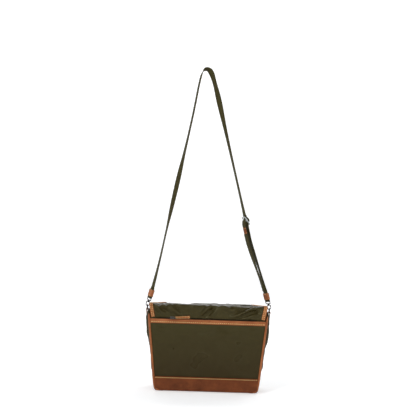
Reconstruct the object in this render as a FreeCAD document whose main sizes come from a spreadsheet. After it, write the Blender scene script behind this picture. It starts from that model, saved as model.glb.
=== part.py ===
"""Crossbody purse: a flap-over nylon bag with leather trim, a zipped rear pocket and a webbing strap.

Millimetres. +Z is up and -Y is the rear (pocket) side. The origin is the middle of the base's underside.
Every driving size is a cell of the Dims sheet. Right-hand pieces are drawn where they lie; a left-hand
piece is the same drawing turned half a turn about Z.
"""
import FreeCAD
import Part
import Sketcher
import math
import os

V = FreeCAD.Vector
DIMS = {
    # body: the side seams lean outwards, so their half width is seam_low + seam_lean * height
    "seam_low": 118.1,
    "seam_lean": 0.1066,
    "half_deep": 41.0,
    "wall": 3.0,
    "panel_top": 190.0,
    "base_thick": 2.5,
    "board_thick": 2.0,
    "board_half_wide": 113.0,
    "gusset_top": 181.0,
    "gusset_mid": 110.0,
    "bulge_low": 1.8,
    "bulge_mid": 5.6,
    "bulge_top": 3.4,
    "lining_thick": 0.8,
    # leather
    "skin": 1.6,
    "band_tall": 34.0,
    "band_corner": 8.0,
    "piping_r": 2.75,
    "piping_y": 42.0,
    "piping_top": 169.0,
    "piping_tip": 9.0,
    "piping_tip_r": 1.3,
    "trim_wide": 8.5,
    "trim_thick": 1.4,
    # rear pocket
    "pocket_skin": 1.4,
    "pocket_inner_y": 42.4,
    "pocket_top": 158.9,
    "strip_low": 156.7,
    "strip_high": 167.5,
    "tape_thick": 0.8,
    "tape_high": 171.4,
    "zip_z": 169.4,
    "zip_end": 112.0,
    "teeth_tall": 2.0,
    "teeth_thick": 0.9,
    "slider_x": -83.5,
    "slider_long": 8.0,
    "slider_tall": 5.8,
    "slider_y": 45.4,
    "slider_thick": 1.5,
    "pin_x": -78.3,
    "pin_y": 47.8,
    "pin_r": 0.5,
    "ear_r": 0.9,
    "link_r": 1.0,
    "tab_start": -74.5,
    "tab_end": -41.6,
    "tab_tall": 6.0,
    "tab_thick": 1.4,
    # flap
    "flap_thick": 2.4,
    "flap_seam_z": 171.5,
    "flap_seam_half": 130.0,
    "fold_z": 197.5,
    "fold_half": 136.0,
    "flap_top_z": 198.6,
    "front_fold_y": 43.3,
    "front_fold_half": 108.0,
    "front_gap": 44.9,
    "front_low_z": 80.0,
    "front_low_half": 103.0,
    "front_corner": 24.0,
    "waist_y": -14.0,
    "waist_half": 132.0,
    "notch_y": -6.5,
    "notch_half": 125.0,
    "hip_y": 12.0,
    "hip_half": 119.0,
    "stud_z": 112.0,
    "stud_r": 8.5,
    "stud_thick": 1.8,
    # ring tab and D-ring: the ring's bar is the axis on which the strap swings
    "ring_x": 143.0,
    "ring_z": 183.0,
    "ring_r": 10.5,
    "ring_wire": 1.0,
    "tab_half": 7.0,
    "loop_bore": 1.15,
    "loop_r": 2.65,
    "tab_low_z": 156.0,
    "tab_low_x": 139.4,
    "tab_high_x": 141.5,
    "tab_deep": 3.0,
    # snap hook, along its own axis from the centre of the ring's wire
    "bow_half": 3.9,
    "bow_wire": 1.0,
    "bow_low": 1.55,
    "bow_high": 4.6,
    "gate_x": 3.72,
    "gate_r": 0.9,
    "gate_tip": 1.0,
    "gate_pivot": 4.9,
    "gate_pin_r": 0.4,
    "gate_bore": 0.45,
    "mouth_low": -0.05,
    "mouth_high": 5.95,
    "collar_r": 2.4,
    "collar_low": 8.2,
    "collar_high": 10.3,
    "shank_r": 1.1,
    "shank_bore": 1.15,
    "head_r": 1.5,
    "head_low": 6.1,
    "head_tall": 0.85,
    "eye_low": 11.4,
    "eye_high": 18.0,
    "eye_half": 8.9,
    "eye_wire": 0.9,
    # keepers and webbing
    "web_wide": 15.0,
    "web_thick": 1.5,
    "keeper_low": 23.0,
    "keeper_high": 39.5,
    "keeper_wide": 18.0,
    "keeper_thick": 7.0,
    "slot_wide": 15.6,
    "slot_thick": 3.4,
    # bowed slider on the strap: its end bars lie outside the webbing and its middle bar inside
    "frame_half_long": 9.0,
    "frame_half_wide": 9.6,
    "frame_wire": 0.8,
    "frame_rise": 1.7,
    "frame_sink": 3.4,
    "slide_tail": 15.2,
    "fold_keeper_start": 14.0,
    "fold_keeper_long": 16.0,
    "fold_keeper_drop": 8.3,
    "fold_keeper_thick": 6.0,
}
HOOK_TILT = 15.5  # degrees the hooks lean inwards, in line with the strap
EYE_TWIST = 30.0  # degrees the eyes are turned on their swivels
FRAME_TWIST = 30.0  # degrees the slider is turned about the webbing

# Strap centre lines in the XZ plane. The long run goes from the left keeper over the top, the straight run
# passes through the slider, the lower run goes on to the right keeper, and the return comes back up to the
# slider's fold.
LONG_RUN = [
    (-132.4, 231.6),
    (-119.6, 286.0),
    (-102.0, 380.0),
    (-79.6, 493.0),
    (-56.9, 605.0),
    (-45.5, 668.0),
    (-38.0, 716.0),
    (-30.0, 750.0),
    (-12.5, 750.0),
    (-1.0, 717.0),
    (8.8, 681.0),
    (27.0, 608.0),
]
LOWER_RUN = [(85.4, 381.9), (92.6, 350.0), (109.5, 303.0), (124.3, 262.0), (133.2, 232.5)]
RETURN_RUN = [(130.3, 232.9), (118.9, 262.0), (102.6, 303.0), (88.0, 342.0), (82.4, 365.0)]
SLIDER_ON_WEBBING = (81.5, 397.0)  # where the slider's middle bar crosses the webbing

doc = FreeCAD.newDocument("crossbody_purse")
subparts = {}


# Document helpers


def fill_sheet():
    """One row per driving size: its name, its value and the alias that the features read."""
    sheet = doc.addObject("Spreadsheet::Sheet", "Dims")
    for row, (alias, value) in enumerate(DIMS.items(), start=1):
        sheet.set(f"A{row}", alias)
        sheet.set(f"B{row}", str(value))
        sheet.setAlias(f"B{row}", alias)
    doc.recompute()
    return sheet


sheet = fill_sheet()


def size(words):
    """Number that a sheet expression stands for."""
    return float(sheet.evalExpression(words))


def seam(height):
    """Half width of the body at its side seams, at a height given as an expression."""
    return f"(Dims.seam_low + Dims.seam_lean * ({height}))"


def register(piece, name, turned=False):
    """Labels a finished sub-part, and turns a left-hand or front one half a turn about Z."""
    piece.Label = name
    if turned:
        half_turn = FreeCAD.Placement(V(), FreeCAD.Rotation(V(0, 0, 1), 180))
        piece.Placement = half_turn.multiply(piece.Placement)
    subparts[name] = piece
    return piece


def add(kind, name, **cells):
    """Part primitive or boolean whose properties are bound to sheet expressions."""
    piece = doc.addObject(kind, name)
    for prop, words in cells.items():
        piece.setExpression(prop, words)
    return piece


def place(piece, x="0", y="0", z="0", rotation=None):
    """Puts a primitive at a point given as expressions, with an optional fixed rotation."""
    if rotation:
        piece.Placement = FreeCAD.Placement(V(), rotation)
    for axis, words in (("x", x), ("y", y), ("z", z)):
        piece.setExpression(f"Placement.Base.{axis}", words)
    return piece


def fuse(name, pieces):
    joined = doc.addObject("Part::MultiFuse", name)
    joined.Shapes = pieces
    return joined


def cut(name, base, tool):
    left = doc.addObject("Part::Cut", name)
    left.Base = base
    left.Tool = tool
    return left


def turn(axis, angle):
    return FreeCAD.Rotation(axis, angle)


ALONG_X = turn(V(0, 1, 0), 90)
ALONG_Y = turn(V(1, 0, 0), -90)


# Sketch helpers


def new_sketch(body, plane, offset):
    """Sketch on one of the body's own origin planes, moved along the plane's normal."""
    sketch = body.newObject("Sketcher::SketchObject", f"{body.Name}_sketch")
    origin_plane = [f for f in body.Origin.OriginFeatures if f.Role == plane][0]
    sketch.AttachmentSupport = [(origin_plane, "")]
    sketch.MapMode = "FlatFace"
    sketch.setExpression("AttachmentOffset.Base.z", offset)
    return sketch


def pin_point(sketch, geometry, end, x, y):
    """Holds one end of a sketch line or arc at a point given as expressions."""
    for kind, words in (("DistanceX", x), ("DistanceY", y)):
        row = sketch.addConstraint(Sketcher.Constraint(kind, -1, 1, geometry, end, size(words)))
        sketch.setExpression(f"Constraints[{row}]", words)


def draw_outline(sketch, corners):
    """Closed outline through its corners, each a pair of expressions."""
    points = [V(size(x), size(y), 0) for x, y in corners]
    count = len(points)
    for i in range(count):
        sketch.addGeometry(Part.LineSegment(points[i], points[(i + 1) % count]))
    for i in range(count):
        sketch.addConstraint(Sketcher.Constraint("Coincident", i, 2, (i + 1) % count, 1))
    for i, (x, y) in enumerate(corners):
        pin_point(sketch, i, 1, x, y)


def draw_circle(sketch, x, y, radius):
    """Circle with its centre and radius bound to the sheet."""
    circle = Part.Circle(V(size(x), size(y), 0), V(0, 0, 1), size(radius))
    sketch.addGeometry(circle)
    pin_point(sketch, 0, 3, x, y)
    row = sketch.addConstraint(Sketcher.Constraint("Radius", 0, size(radius)))
    sketch.setExpression(f"Constraints[{row}]", radius)


def pad(body, sketch, length, midplane=False):
    feature = body.newObject("PartDesign::Pad", f"{body.Name}_pad")
    feature.Profile = sketch
    feature.Midplane = midplane
    feature.setExpression("Length", length)
    return feature


def pocket(body, sketch, length, midplane=False, toward_normal=False):
    """Cut from a sketch; the volume is compared, because a cut that points away removes nothing."""
    doc.recompute()
    before = body.Shape.Volume
    feature = body.newObject("PartDesign::Pocket", f"{body.Name}_pocket")
    feature.Profile = sketch
    feature.Midplane = midplane
    feature.Reversed = toward_normal
    feature.setExpression("Length", length)
    doc.recompute()
    if body.Shape.Volume > before - 1e-6:
        raise RuntimeError(f"{body.Name}: the pocket removes nothing")
    return feature


FLAT = {
    "XY_Plane": lambda p: (p.x, p.y),
    "XZ_Plane": lambda p: (p.x, p.z),
    "YZ_Plane": lambda p: (p.y, p.z),
}


def round_corners(body, plane, corners, radius):
    """Fillets the edges that stand square to the sketch plane on the named corners."""
    doc.recompute()
    wanted = [(size(x), size(y)) for x, y in corners]
    names = []
    for number, edge in enumerate(body.Shape.Edges, start=1):
        ends = [FLAT[plane](v.Point) for v in edge.Vertexes]
        for corner in wanted:
            if len(ends) == 2 and all(math.dist(end, corner) < 1e-4 for end in ends):
                names.append(f"Edge{number}")
    solid = body.Tip
    fillet = body.newObject("PartDesign::Fillet", f"{body.Name}_fillet")
    fillet.Base = (solid, names)
    fillet.setExpression("Radius", radius)
    return fillet


def upright_slab(name, corners, rear_y, front_y, rounded=(), radius=None, turned=False):
    """Plate standing in the XZ plane between two depths, with the listed corners rounded."""
    body = doc.addObject("PartDesign::Body", name)
    sketch = new_sketch(body, "XZ_Plane", f"-({front_y})")
    draw_outline(sketch, corners)
    pad(body, sketch, f"({front_y}) - ({rear_y})")
    if rounded:
        round_corners(body, "XZ_Plane", rounded, radius)
    return register(body, name, turned)


def flat_slab(name, corners, low_z, high_z):
    """Plate lying in the XY plane between two heights."""
    body = doc.addObject("PartDesign::Body", name)
    sketch = new_sketch(body, "XY_Plane", low_z)
    draw_outline(sketch, corners)
    pad(body, sketch, f"({high_z}) - ({low_z})")
    return register(body, name)


def mirrored(pairs):
    """Outline symmetric about X = 0, from the (half width, height) pairs of its right side."""
    right = [(half, up) for half, up in pairs]
    left = [(f"-({half})", up) for half, up in reversed(pairs)]
    return right + left


# Body of the bag


def build_base():
    """Underside panel and the stiff board that lies on it inside the bag."""
    half_wide = seam("0") + " + 0.2"
    rear_y = "-(Dims.pocket_inner_y + Dims.pocket_skin - 0.1)"
    front_y = "Dims.half_deep"
    flat_slab("base_panel", mirrored([(half_wide, rear_y), (half_wide, front_y)]), "0", "Dims.base_thick")
    low = "Dims.base_thick + 0.1"
    half_deep = "Dims.half_deep - Dims.wall - 0.5"
    corners = mirrored([("Dims.board_half_wide", f"-({half_deep})"), ("Dims.board_half_wide", half_deep)])
    flat_slab("base_board", corners, low, f"{low} + Dims.board_thick")


def panel_outline(low, high):
    """Body panel between the pipings' inner edges."""
    inset = "Dims.piping_r - 0.05"
    return mirrored([(f"{seam(low)} - {inset} - 0.1", low), (f"{seam(high)} - {inset} - 0.1", high)])


def build_panels():
    """Rear and front walls of the main compartment."""
    corners = panel_outline("Dims.base_thick", "Dims.panel_top")
    rear, front = "-Dims.half_deep", "-(Dims.half_deep - Dims.wall)"
    upright_slab("rear_panel", corners, rear, front)
    upright_slab("front_panel", corners, rear, front, turned=True)


def draw_bulged_section(sketch, edge_x, half_y, bulge, thick):
    """Wall section whose two long sides bow outwards, towards +X."""
    outer_x, inner_x = f"({edge_x})", f"({edge_x} - ({thick}))"
    half, rise = size(half_y), size(bulge)
    for x in (outer_x, inner_x):
        at = size(x)
        arc = Part.Arc(V(at, -half, 0), V(at + rise, 0, 0), V(at, half, 0))
        sketch.addGeometry(arc)
    for y in (-half, half):
        sketch.addGeometry(Part.LineSegment(V(size(inner_x), y, 0), V(size(outer_x), y, 0)))
    radius = f"(({half_y})^2 + ({bulge})^2) / (2 * ({bulge}))"
    for arc, x in ((0, outer_x), (1, inner_x)):
        pin_point(sketch, arc, 1, x, f"-({half_y})")
        pin_point(sketch, arc, 2, x, half_y)
        row = sketch.addConstraint(Sketcher.Constraint("Radius", arc, size(radius)))
        sketch.setExpression(f"Constraints[{row}]", radius)
    for line, end in ((2, 1), (3, 2)):
        sketch.addConstraint(Sketcher.Constraint("Coincident", line, 1, 1, end))
        sketch.addConstraint(Sketcher.Constraint("Coincident", line, 2, 0, end))


def bulged_wall(name, half_y, levels, thick, turned):
    """Side wall lofted straight through sections (height, outer edge, bulge)."""
    body = doc.addObject("PartDesign::Body", name)
    sketches = []
    for height, edge_x, bulge in levels:
        sketch = new_sketch(body, "XY_Plane", height)
        draw_bulged_section(sketch, edge_x, half_y, bulge, thick)
        sketches.append(sketch)
    doc.recompute()
    loft = body.newObject("PartDesign::AdditiveLoft", f"{body.Name}_loft")
    loft.Profile = sketches[0]
    loft.Sections = sketches[1:]
    loft.Ruled = True
    return register(body, name, turned)


def build_sides():
    """Soft gussets and the leather bands round their feet."""
    gusset_levels = [
        (z, seam(z) + " + 0.3", bulge)
        for z, bulge in (
            ("Dims.base_thick", "Dims.bulge_low"),
            ("Dims.gusset_mid", "Dims.bulge_mid"),
            ("Dims.gusset_top", "Dims.bulge_top"),
        )
    ]
    gap = "Dims.gusset_mid - Dims.base_thick"
    growth = f"(Dims.bulge_mid - Dims.bulge_low) * (Dims.band_tall - Dims.base_thick) / ({gap})"
    bulge_at_band = f"Dims.bulge_low + {growth}"
    band_levels = [
        ("0", seam("0") + " + 0.4 + Dims.skin", "Dims.bulge_low + 0.1"),
        ("Dims.band_tall", seam("Dims.band_tall") + " + 0.4 + Dims.skin", bulge_at_band),
    ]
    for side, turned in (("left", True), ("right", False)):
        bulged_wall(f"{side}_gusset", "Dims.half_deep - 1.8", gusset_levels, "Dims.wall", turned)
        bulged_wall(f"{side}_base_band", "Dims.half_deep - 0.1", band_levels, "Dims.skin - 0.1", turned)


def build_bands():
    """Leather bands across the foot of the rear and front walls, with rounded lower corners."""
    edge = "Dims.piping_r"
    low = f"{seam('0')} + {edge}"
    high = f"{seam('Dims.band_tall')} + {edge}"
    corners = mirrored([(low, "0"), (high, "Dims.band_tall")])
    foot = [(low, "0"), (f"-({low})", "0")]
    rear_inner = "-(Dims.pocket_inner_y + Dims.pocket_skin)"
    for name, inner, turned in (
        ("rear_base_band", rear_inner, False),
        ("front_base_band", "-Dims.half_deep", True),
    ):
        upright_slab(name, corners, f"{inner} - Dims.skin", inner, foot, "Dims.band_corner", turned)


def build_pipings():
    """Leather cords in the four upright seams, tapering to a tip below the flap."""
    lean = turn(V(0, 1, 0), math.degrees(math.atan(DIMS["seam_lean"])))
    steep = "sqrt(1 + Dims.seam_lean^2)"
    low = "(Dims.band_tall + 0.4)"
    for name, side, turned in (
        ("rear_right_piping", "-", False),
        ("rear_left_piping", "", True),
        ("front_right_piping", "", False),
        ("front_left_piping", "-", True),
    ):
        long = f"(Dims.piping_top - {low}) * {steep}"
        shaft = add("Part::Cylinder", f"{name}_shaft", Radius="Dims.piping_r", Height=long)
        tip = add(
            "Part::Cone",
            f"{name}_tip",
            Radius1="Dims.piping_r",
            Radius2="Dims.piping_tip_r",
            Height="Dims.piping_tip",
        )
        place(tip, z=long)
        cord = fuse(name, [shaft, tip])
        place(cord, seam(low), f"{side}Dims.piping_y", low, lean)
        doc.recompute()
        # the half turn replaces the bound position, so it is taken off first
        at = cord.Placement
        for axis in "xyz":
            cord.setExpression(f"Placement.Base.{axis}", None)
        cord.Placement = at
        register(cord, name, turned)


def tapered_block(name, low_z, high_z, inset, half_deep):
    """Block that fills the main compartment between two heights, less an inset at its sides."""
    block = doc.addObject("Part::Wedge", name)
    low_half = f"({seam(low_z)} - ({inset}))"
    high_half = f"({seam(high_z)} - ({inset}))"
    # the wedge's own Y axis is the height, so it is turned a quarter turn about X
    cells = {
        "Xmin": f"-{low_half}",
        "Xmax": low_half,
        "X2min": f"-{high_half}",
        "X2max": high_half,
        "Ymin": low_z,
        "Ymax": high_z,
        "Zmin": f"-({half_deep})",
        "Zmax": half_deep,
        "Z2min": f"-({half_deep})",
        "Z2max": half_deep,
    }
    for prop in ("Xmin", "Ymin", "Zmin", "X2min", "Z2min", "Xmax", "Ymax", "Zmax", "X2max", "Z2max"):
        setattr(block, prop, size(cells[prop]))
        block.setExpression(prop, cells[prop])
    block.Placement = FreeCAD.Placement(V(), turn(V(1, 0, 0), 90))
    return block


def build_lining():
    """Thin lining, open at the top."""
    floor = "Dims.base_thick + Dims.board_thick + 0.2"
    top = "Dims.panel_top - 4"
    deep = "Dims.half_deep - Dims.wall - 0.2"
    outer = tapered_block("lining_outer", floor, top, "Dims.wall + 0.2", deep)
    inner = tapered_block(
        "lining_inner",
        f"{floor} + Dims.lining_thick",
        f"{top} + 1",
        "Dims.wall + 0.2 + Dims.lining_thick",
        f"{deep} - Dims.lining_thick",
    )
    register(cut("lining", outer, inner), "lining")


# Rear pocket


def build_pocket():
    """Pocket panel on the rear wall, its leather strip and the zip behind the strip."""
    inner = "-Dims.pocket_inner_y"
    outer = "-(Dims.pocket_inner_y + Dims.pocket_skin)"
    low = "Dims.base_thick + 0.1"
    upright_slab("rear_pocket_panel", panel_outline(low, "Dims.pocket_top"), outer, inner)
    strip = mirrored(
        [
            (f"{seam('Dims.strip_low')} - Dims.piping_r - 0.1", "Dims.strip_low"),
            (f"{seam('Dims.strip_low')} - Dims.piping_r - 0.1", "Dims.strip_high"),
        ]
    )
    upright_slab("pocket_strip", strip, f"{outer} - Dims.trim_thick", outer)
    tape_half = "Dims.zip_end + 8"
    tape = mirrored([(tape_half, "Dims.pocket_top + 0.1"), (tape_half, "Dims.tape_high")])
    tape_outer = f"{inner} - Dims.tape_thick"
    upright_slab("zip_tape", tape, tape_outer, inner)
    half_tall = "Dims.teeth_tall / 2"
    teeth_low, teeth_high = f"Dims.zip_z - {half_tall}", f"Dims.zip_z + {half_tall}"
    teeth = mirrored([("Dims.zip_end", teeth_low), ("Dims.zip_end", teeth_high)])
    upright_slab("zip_teeth", teeth, f"{tape_outer} - Dims.teeth_thick", tape_outer)


def build_zip_slider():
    """Slider with a neck over the teeth, and two ears that hold the pull's pin."""
    half_tall = "Dims.slider_tall / 2"
    body = add(
        "Part::Box",
        "slider_body",
        Length="Dims.slider_long",
        Width="Dims.slider_thick",
        Height="Dims.slider_tall",
    )
    low, high = f"Dims.zip_z - {half_tall}", f"Dims.zip_z + {half_tall}"
    start = "Dims.slider_x - Dims.slider_long / 2"
    place(body, start, "-(Dims.slider_y + Dims.slider_thick)", low)
    neck_y = "Dims.pocket_inner_y + Dims.tape_thick + Dims.teeth_thick + 0.1"
    neck = add(
        "Part::Box",
        "slider_neck",
        Length="Dims.slider_long - 2",
        Width=f"Dims.slider_y - ({neck_y}) + 0.2",
        Height="Dims.teeth_tall",
    )
    place(neck, f"{start} + 1", "-(Dims.slider_y + 0.2)", "Dims.zip_z - Dims.teeth_tall / 2")
    pieces = [body, neck]
    ear_tall = 1.0
    for side, level in (("lower", low), ("upper", f"{high} - {ear_tall}")):
        arm = add(
            "Part::Box",
            f"slider_{side}_arm",
            Length="Dims.pin_x - Dims.slider_x - Dims.slider_long / 2 + 1",
            Width="Dims.ear_r * 2",
            Height=str(ear_tall),
        )
        place(arm, "Dims.slider_x + Dims.slider_long / 2 - 1", "-(Dims.pin_y + Dims.ear_r)", level)
        bridge = add(
            "Part::Box",
            f"slider_{side}_bridge",
            Length="2.5",
            Width="Dims.pin_y - Dims.slider_y - Dims.slider_thick / 2",
            Height=str(ear_tall),
        )
        place(bridge, "Dims.slider_x + Dims.slider_long / 2 - 3", "-Dims.pin_y", level)
        tip = add("Part::Cylinder", f"slider_{side}_ear", Radius="Dims.ear_r", Height=str(ear_tall))
        place(tip, "Dims.pin_x", "-Dims.pin_y", level)
        pieces += [arm, bridge, tip]
    pin = add("Part::Cylinder", "slider_pin", Radius="Dims.pin_r", Height="Dims.slider_tall - 1")
    place(pin, "Dims.pin_x", "-Dims.pin_y", f"Dims.zip_z - {half_tall} + 0.5")
    register(fuse("zip_slider", pieces + [pin]), "zip_slider")


def build_zip_pull():
    """Metal link that turns on the slider's pin, and the leather tab sewn to it."""
    inner_half = "(Dims.slider_tall / 2 - 1.2)"
    barrel = add("Part::Cylinder", "link_barrel", Radius="Dims.link_r", Height=f"2 * {inner_half}")
    place(barrel, "Dims.pin_x", "-Dims.pin_y", f"Dims.zip_z - {inner_half}")
    plate = add(
        "Part::Box",
        "link_plate",
        Length="Dims.tab_start - Dims.pin_x",
        Width="0.8",
        Height=f"2 * {inner_half}",
    )
    place(plate, "Dims.pin_x", "-(Dims.pin_y + 0.4)", f"Dims.zip_z - {inner_half}")
    bore = add("Part::Cylinder", "link_bore", Radius="Dims.pin_r + 0.08", Height="Dims.slider_tall")
    place(bore, "Dims.pin_x", "-Dims.pin_y", "Dims.zip_z - Dims.slider_tall / 2")
    link = cut("pull_link", fuse("link_blank", [barrel, plate]), bore)
    register(link, "pull_link")
    low = "Dims.zip_z + 1 - Dims.tab_tall / 2"
    rise = "1.4"
    corners = [
        ("Dims.tab_start", low),
        ("Dims.tab_end", f"{low} + {rise}"),
        ("Dims.tab_end", f"{low} + {rise} + Dims.tab_tall"),
        ("Dims.tab_start", f"{low} + Dims.tab_tall"),
    ]
    half_thick = "Dims.tab_thick / 2"
    upright_slab(
        "pull_tab",
        corners,
        f"-(Dims.pin_y + {half_thick})",
        f"-(Dims.pin_y - {half_thick})",
        [corners[1], corners[2]],
        "Dims.tab_tall / 2.2",
    )


# Flap


def edge_strip(corners_out):
    """Outline of a leather strip along one edge, from (half width, position) pairs."""
    inner = [(f"{half} - Dims.trim_wide", at) for half, at in reversed(corners_out)]
    return list(corners_out) + inner


def negated(corners):
    return [(f"-({x})", y) for x, y in reversed(corners)]


def build_flap_back():
    """Foot of the flap, sewn to the rear wall, with its leather edges."""
    rear_wall = "-Dims.half_deep"
    face = f"{rear_wall} - Dims.skin"
    sides = [("Dims.flap_seam_half", "Dims.flap_seam_z"), ("Dims.fold_half", "Dims.fold_z")]
    upright_slab("flap_back", mirrored(sides), face, rear_wall)
    strip = edge_strip(sides)
    upright_slab("flap_back_right_trim", strip, f"{face} - Dims.trim_thick", face)
    upright_slab("flap_back_left_trim", negated(strip), f"{face} - Dims.trim_thick", face)


def build_flap_top():
    """Part of the flap over the bag's mouth. Its sides narrow to pass between the two strap ends."""
    rear_y = "-(Dims.half_deep + 0.5)"
    sides = [
        ("Dims.fold_half", rear_y),
        ("Dims.waist_half", "Dims.waist_y"),
        ("Dims.notch_half", "Dims.notch_y"),
        ("Dims.hip_half", "Dims.hip_y"),
        ("Dims.front_fold_half", "Dims.front_fold_y"),
    ]
    top = "Dims.flap_top_z + Dims.flap_thick"
    flat_slab("flap_top", mirrored(sides), "Dims.flap_top_z", top)
    strip = edge_strip(sides)
    flat_slab("flap_top_right_trim", strip, top, f"{top} + Dims.trim_thick")
    flat_slab("flap_top_left_trim", negated(strip), top, f"{top} + Dims.trim_thick")


def build_flap_front():
    """Hanging front of the flap and the leather border round its free edge."""
    sides = [("Dims.front_low_half", "Dims.front_low_z"), ("Dims.front_fold_half", "Dims.fold_z")]
    foot = [sides[0], (f"-({sides[0][0]})", sides[0][1])]
    inner = "Dims.front_gap"
    outer = f"{inner} + Dims.flap_thick"
    upright_slab("flap_front", mirrored(sides), inner, outer, foot, "Dims.front_corner")
    trim = upright_slab(
        "flap_front_trim",
        mirrored(sides),
        outer,
        f"{outer} + Dims.trim_thick",
        foot,
        "Dims.front_corner",
    )
    window = mirrored(
        [
            ("Dims.front_low_half - Dims.trim_wide", "Dims.front_low_z + Dims.trim_wide"),
            ("Dims.front_fold_half - Dims.trim_wide", "Dims.fold_z + 1"),
        ]
    )
    sketch = new_sketch(trim, "XZ_Plane", f"-({outer} + Dims.trim_thick)")
    draw_outline(sketch, window)
    pocket(trim, sketch, "Dims.trim_thick", toward_normal=True)
    round_corners(trim, "XZ_Plane", [window[0], window[3]], "Dims.front_corner - Dims.trim_wide")


def build_studs():
    """Magnetic closure: one disc on the front wall and one on the flap's underside."""
    for name, y in (
        ("front_stud", "Dims.half_deep"),
        ("flap_stud", "Dims.front_gap - Dims.stud_thick"),
    ):
        disc = add("Part::Cylinder", name, Radius="Dims.stud_r", Height="Dims.stud_thick")
        place(disc, "0", y, "Dims.stud_z", ALONG_Y)
        register(disc, name)


# Ring tabs, D-rings and snap hooks


def build_ring_tab(side, turned):
    """Folded leather tab: a stem on the gusset and a tube that holds the ring's bar."""
    body = doc.addObject("PartDesign::Body", f"{side}_ring_tab")
    corners = [
        ("Dims.tab_low_x", "Dims.tab_low_z"),
        ("Dims.tab_low_x + Dims.tab_deep", "Dims.tab_low_z"),
        ("Dims.tab_high_x + Dims.tab_deep", "Dims.ring_z - 0.4"),
        ("Dims.tab_high_x", "Dims.ring_z - 0.4"),
    ]
    width = "2 * Dims.tab_half"
    stem = new_sketch(body, "XZ_Plane", "0")
    draw_outline(stem, corners)
    pad(body, stem, width, midplane=True)
    doc.recompute()
    tube = new_sketch(body, "XZ_Plane", "0")
    draw_circle(tube, "Dims.ring_x", "Dims.ring_z", "Dims.loop_r")
    pad(body, tube, width, midplane=True)
    bore = new_sketch(body, "XZ_Plane", "0")
    draw_circle(bore, "Dims.ring_x", "Dims.ring_z", "Dims.loop_bore")
    pocket(body, bore, f"{width} + 2", midplane=True)
    register(body, body.Name, turned)


def half_ring(name, radius, wire, rotation, **at):
    """Half of a torus."""
    ring = add("Part::Torus", name, Radius1=radius, Radius2=wire)
    ring.Angle3 = 180
    return place(ring, rotation=rotation, **at)


def build_d_ring(side, turned):
    """D-ring standing in the YZ plane on its straight bar."""
    name = f"{side}_d_ring"
    upright = FreeCAD.Rotation(V(0, 1, 0), V(0, 0, 1), V(1, 0, 0), "XYZ")
    bow = half_ring(f"{name}_bow", "Dims.ring_r", "Dims.ring_wire", upright)
    bar = add("Part::Cylinder", f"{name}_bar", Radius="Dims.ring_wire", Height="2 * Dims.ring_r")
    place(bar, y="-Dims.ring_r", rotation=ALONG_Y)
    pieces = [bow, bar]
    for end, y in (("near", "-Dims.ring_r"), ("far", "Dims.ring_r")):
        pieces.append(place(add("Part::Sphere", f"{name}_{end}_corner", Radius="Dims.ring_wire"), y=y))
    ring = fuse(name, pieces)
    ring.Placement = FreeCAD.Placement(V(DIMS["ring_x"], 0, DIMS["ring_z"]), FreeCAD.Rotation())
    register(ring, name, turned)


def hook_place(twist=0.0):
    """Frame of a hook: its origin in the ring's wire, +Z along the hook towards the strap."""
    at = V(size("Dims.ring_x"), 0, size("Dims.ring_z + Dims.ring_r"))
    tilt = turn(V(0, 1, 0), -HOOK_TILT)
    return FreeCAD.Placement(at, tilt.multiply(turn(V(0, 0, 1), twist)))


def build_hook(side, turned):
    """Snap hook body: a bow with a mouth on its outer side, the gate's cheeks and the swivel collar."""
    name = f"{side}_hook_body"
    upper = FreeCAD.Rotation(V(1, 0, 0), V(0, 0, 1), V(0, -1, 0), "XYZ")
    lower = FreeCAD.Rotation(V(1, 0, 0), V(0, 0, -1), V(0, 1, 0), "XYZ")
    arcs = [
        half_ring(f"{name}_foot", "Dims.bow_half", "Dims.bow_wire", lower, z="Dims.bow_low"),
        half_ring(f"{name}_head", "Dims.bow_half", "Dims.bow_wire", upper, z="Dims.bow_high"),
    ]
    for leg, x in (("near", "Dims.bow_half"), ("far", "-Dims.bow_half")):
        rod = add(
            "Part::Cylinder",
            f"{name}_{leg}_leg",
            Radius="Dims.bow_wire",
            Height="Dims.bow_high - Dims.bow_low",
        )
        arcs.append(place(rod, x=x, z="Dims.bow_low"))
    ring = fuse(f"{name}_ring", arcs)
    mouth = add(
        "Part::Box",
        f"{name}_mouth",
        Length="4",
        Width="4",
        Height="Dims.mouth_high - Dims.mouth_low",
    )
    place(mouth, "Dims.bow_half - 2.4", "-2", "Dims.mouth_low")
    open_ring = cut(f"{name}_open", ring, mouth)
    collar = add(
        "Part::Cylinder",
        f"{name}_collar",
        Radius="Dims.collar_r",
        Height="Dims.collar_high - Dims.collar_low",
    )
    place(collar, z="Dims.collar_low")
    saddle = add("Part::Box", f"{name}_saddle", Length="2.2", Width="3.2", Height="1")
    place(saddle, "Dims.gate_x - 1.1", "-1.6", "Dims.mouth_high")
    solids = [open_ring, collar, saddle]
    for cheek, y in (("near", "-1.6"), ("far", "1")):
        plate = add("Part::Box", f"{name}_{cheek}_cheek", Length="2.2", Width="0.6", Height="3")
        solids.append(place(plate, "Dims.gate_x - 1.1", y, "Dims.mouth_high - 2"))
    blank = fuse(f"{name}_blank", solids)
    shank_bore = add("Part::Cylinder", f"{name}_bore", Radius="Dims.shank_bore", Height="4")
    place(shank_bore, z="Dims.collar_low - 1")
    pin_bore = add("Part::Cylinder", f"{name}_pin_bore", Radius="Dims.gate_bore", Height="6")
    place(pin_bore, "Dims.gate_x", "-3", "Dims.gate_pivot", ALONG_Y)
    hook = cut(name, blank, fuse(f"{name}_bores", [shank_bore, pin_bore]))
    hook.Placement = hook_place()
    register(hook, name, turned)


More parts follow.
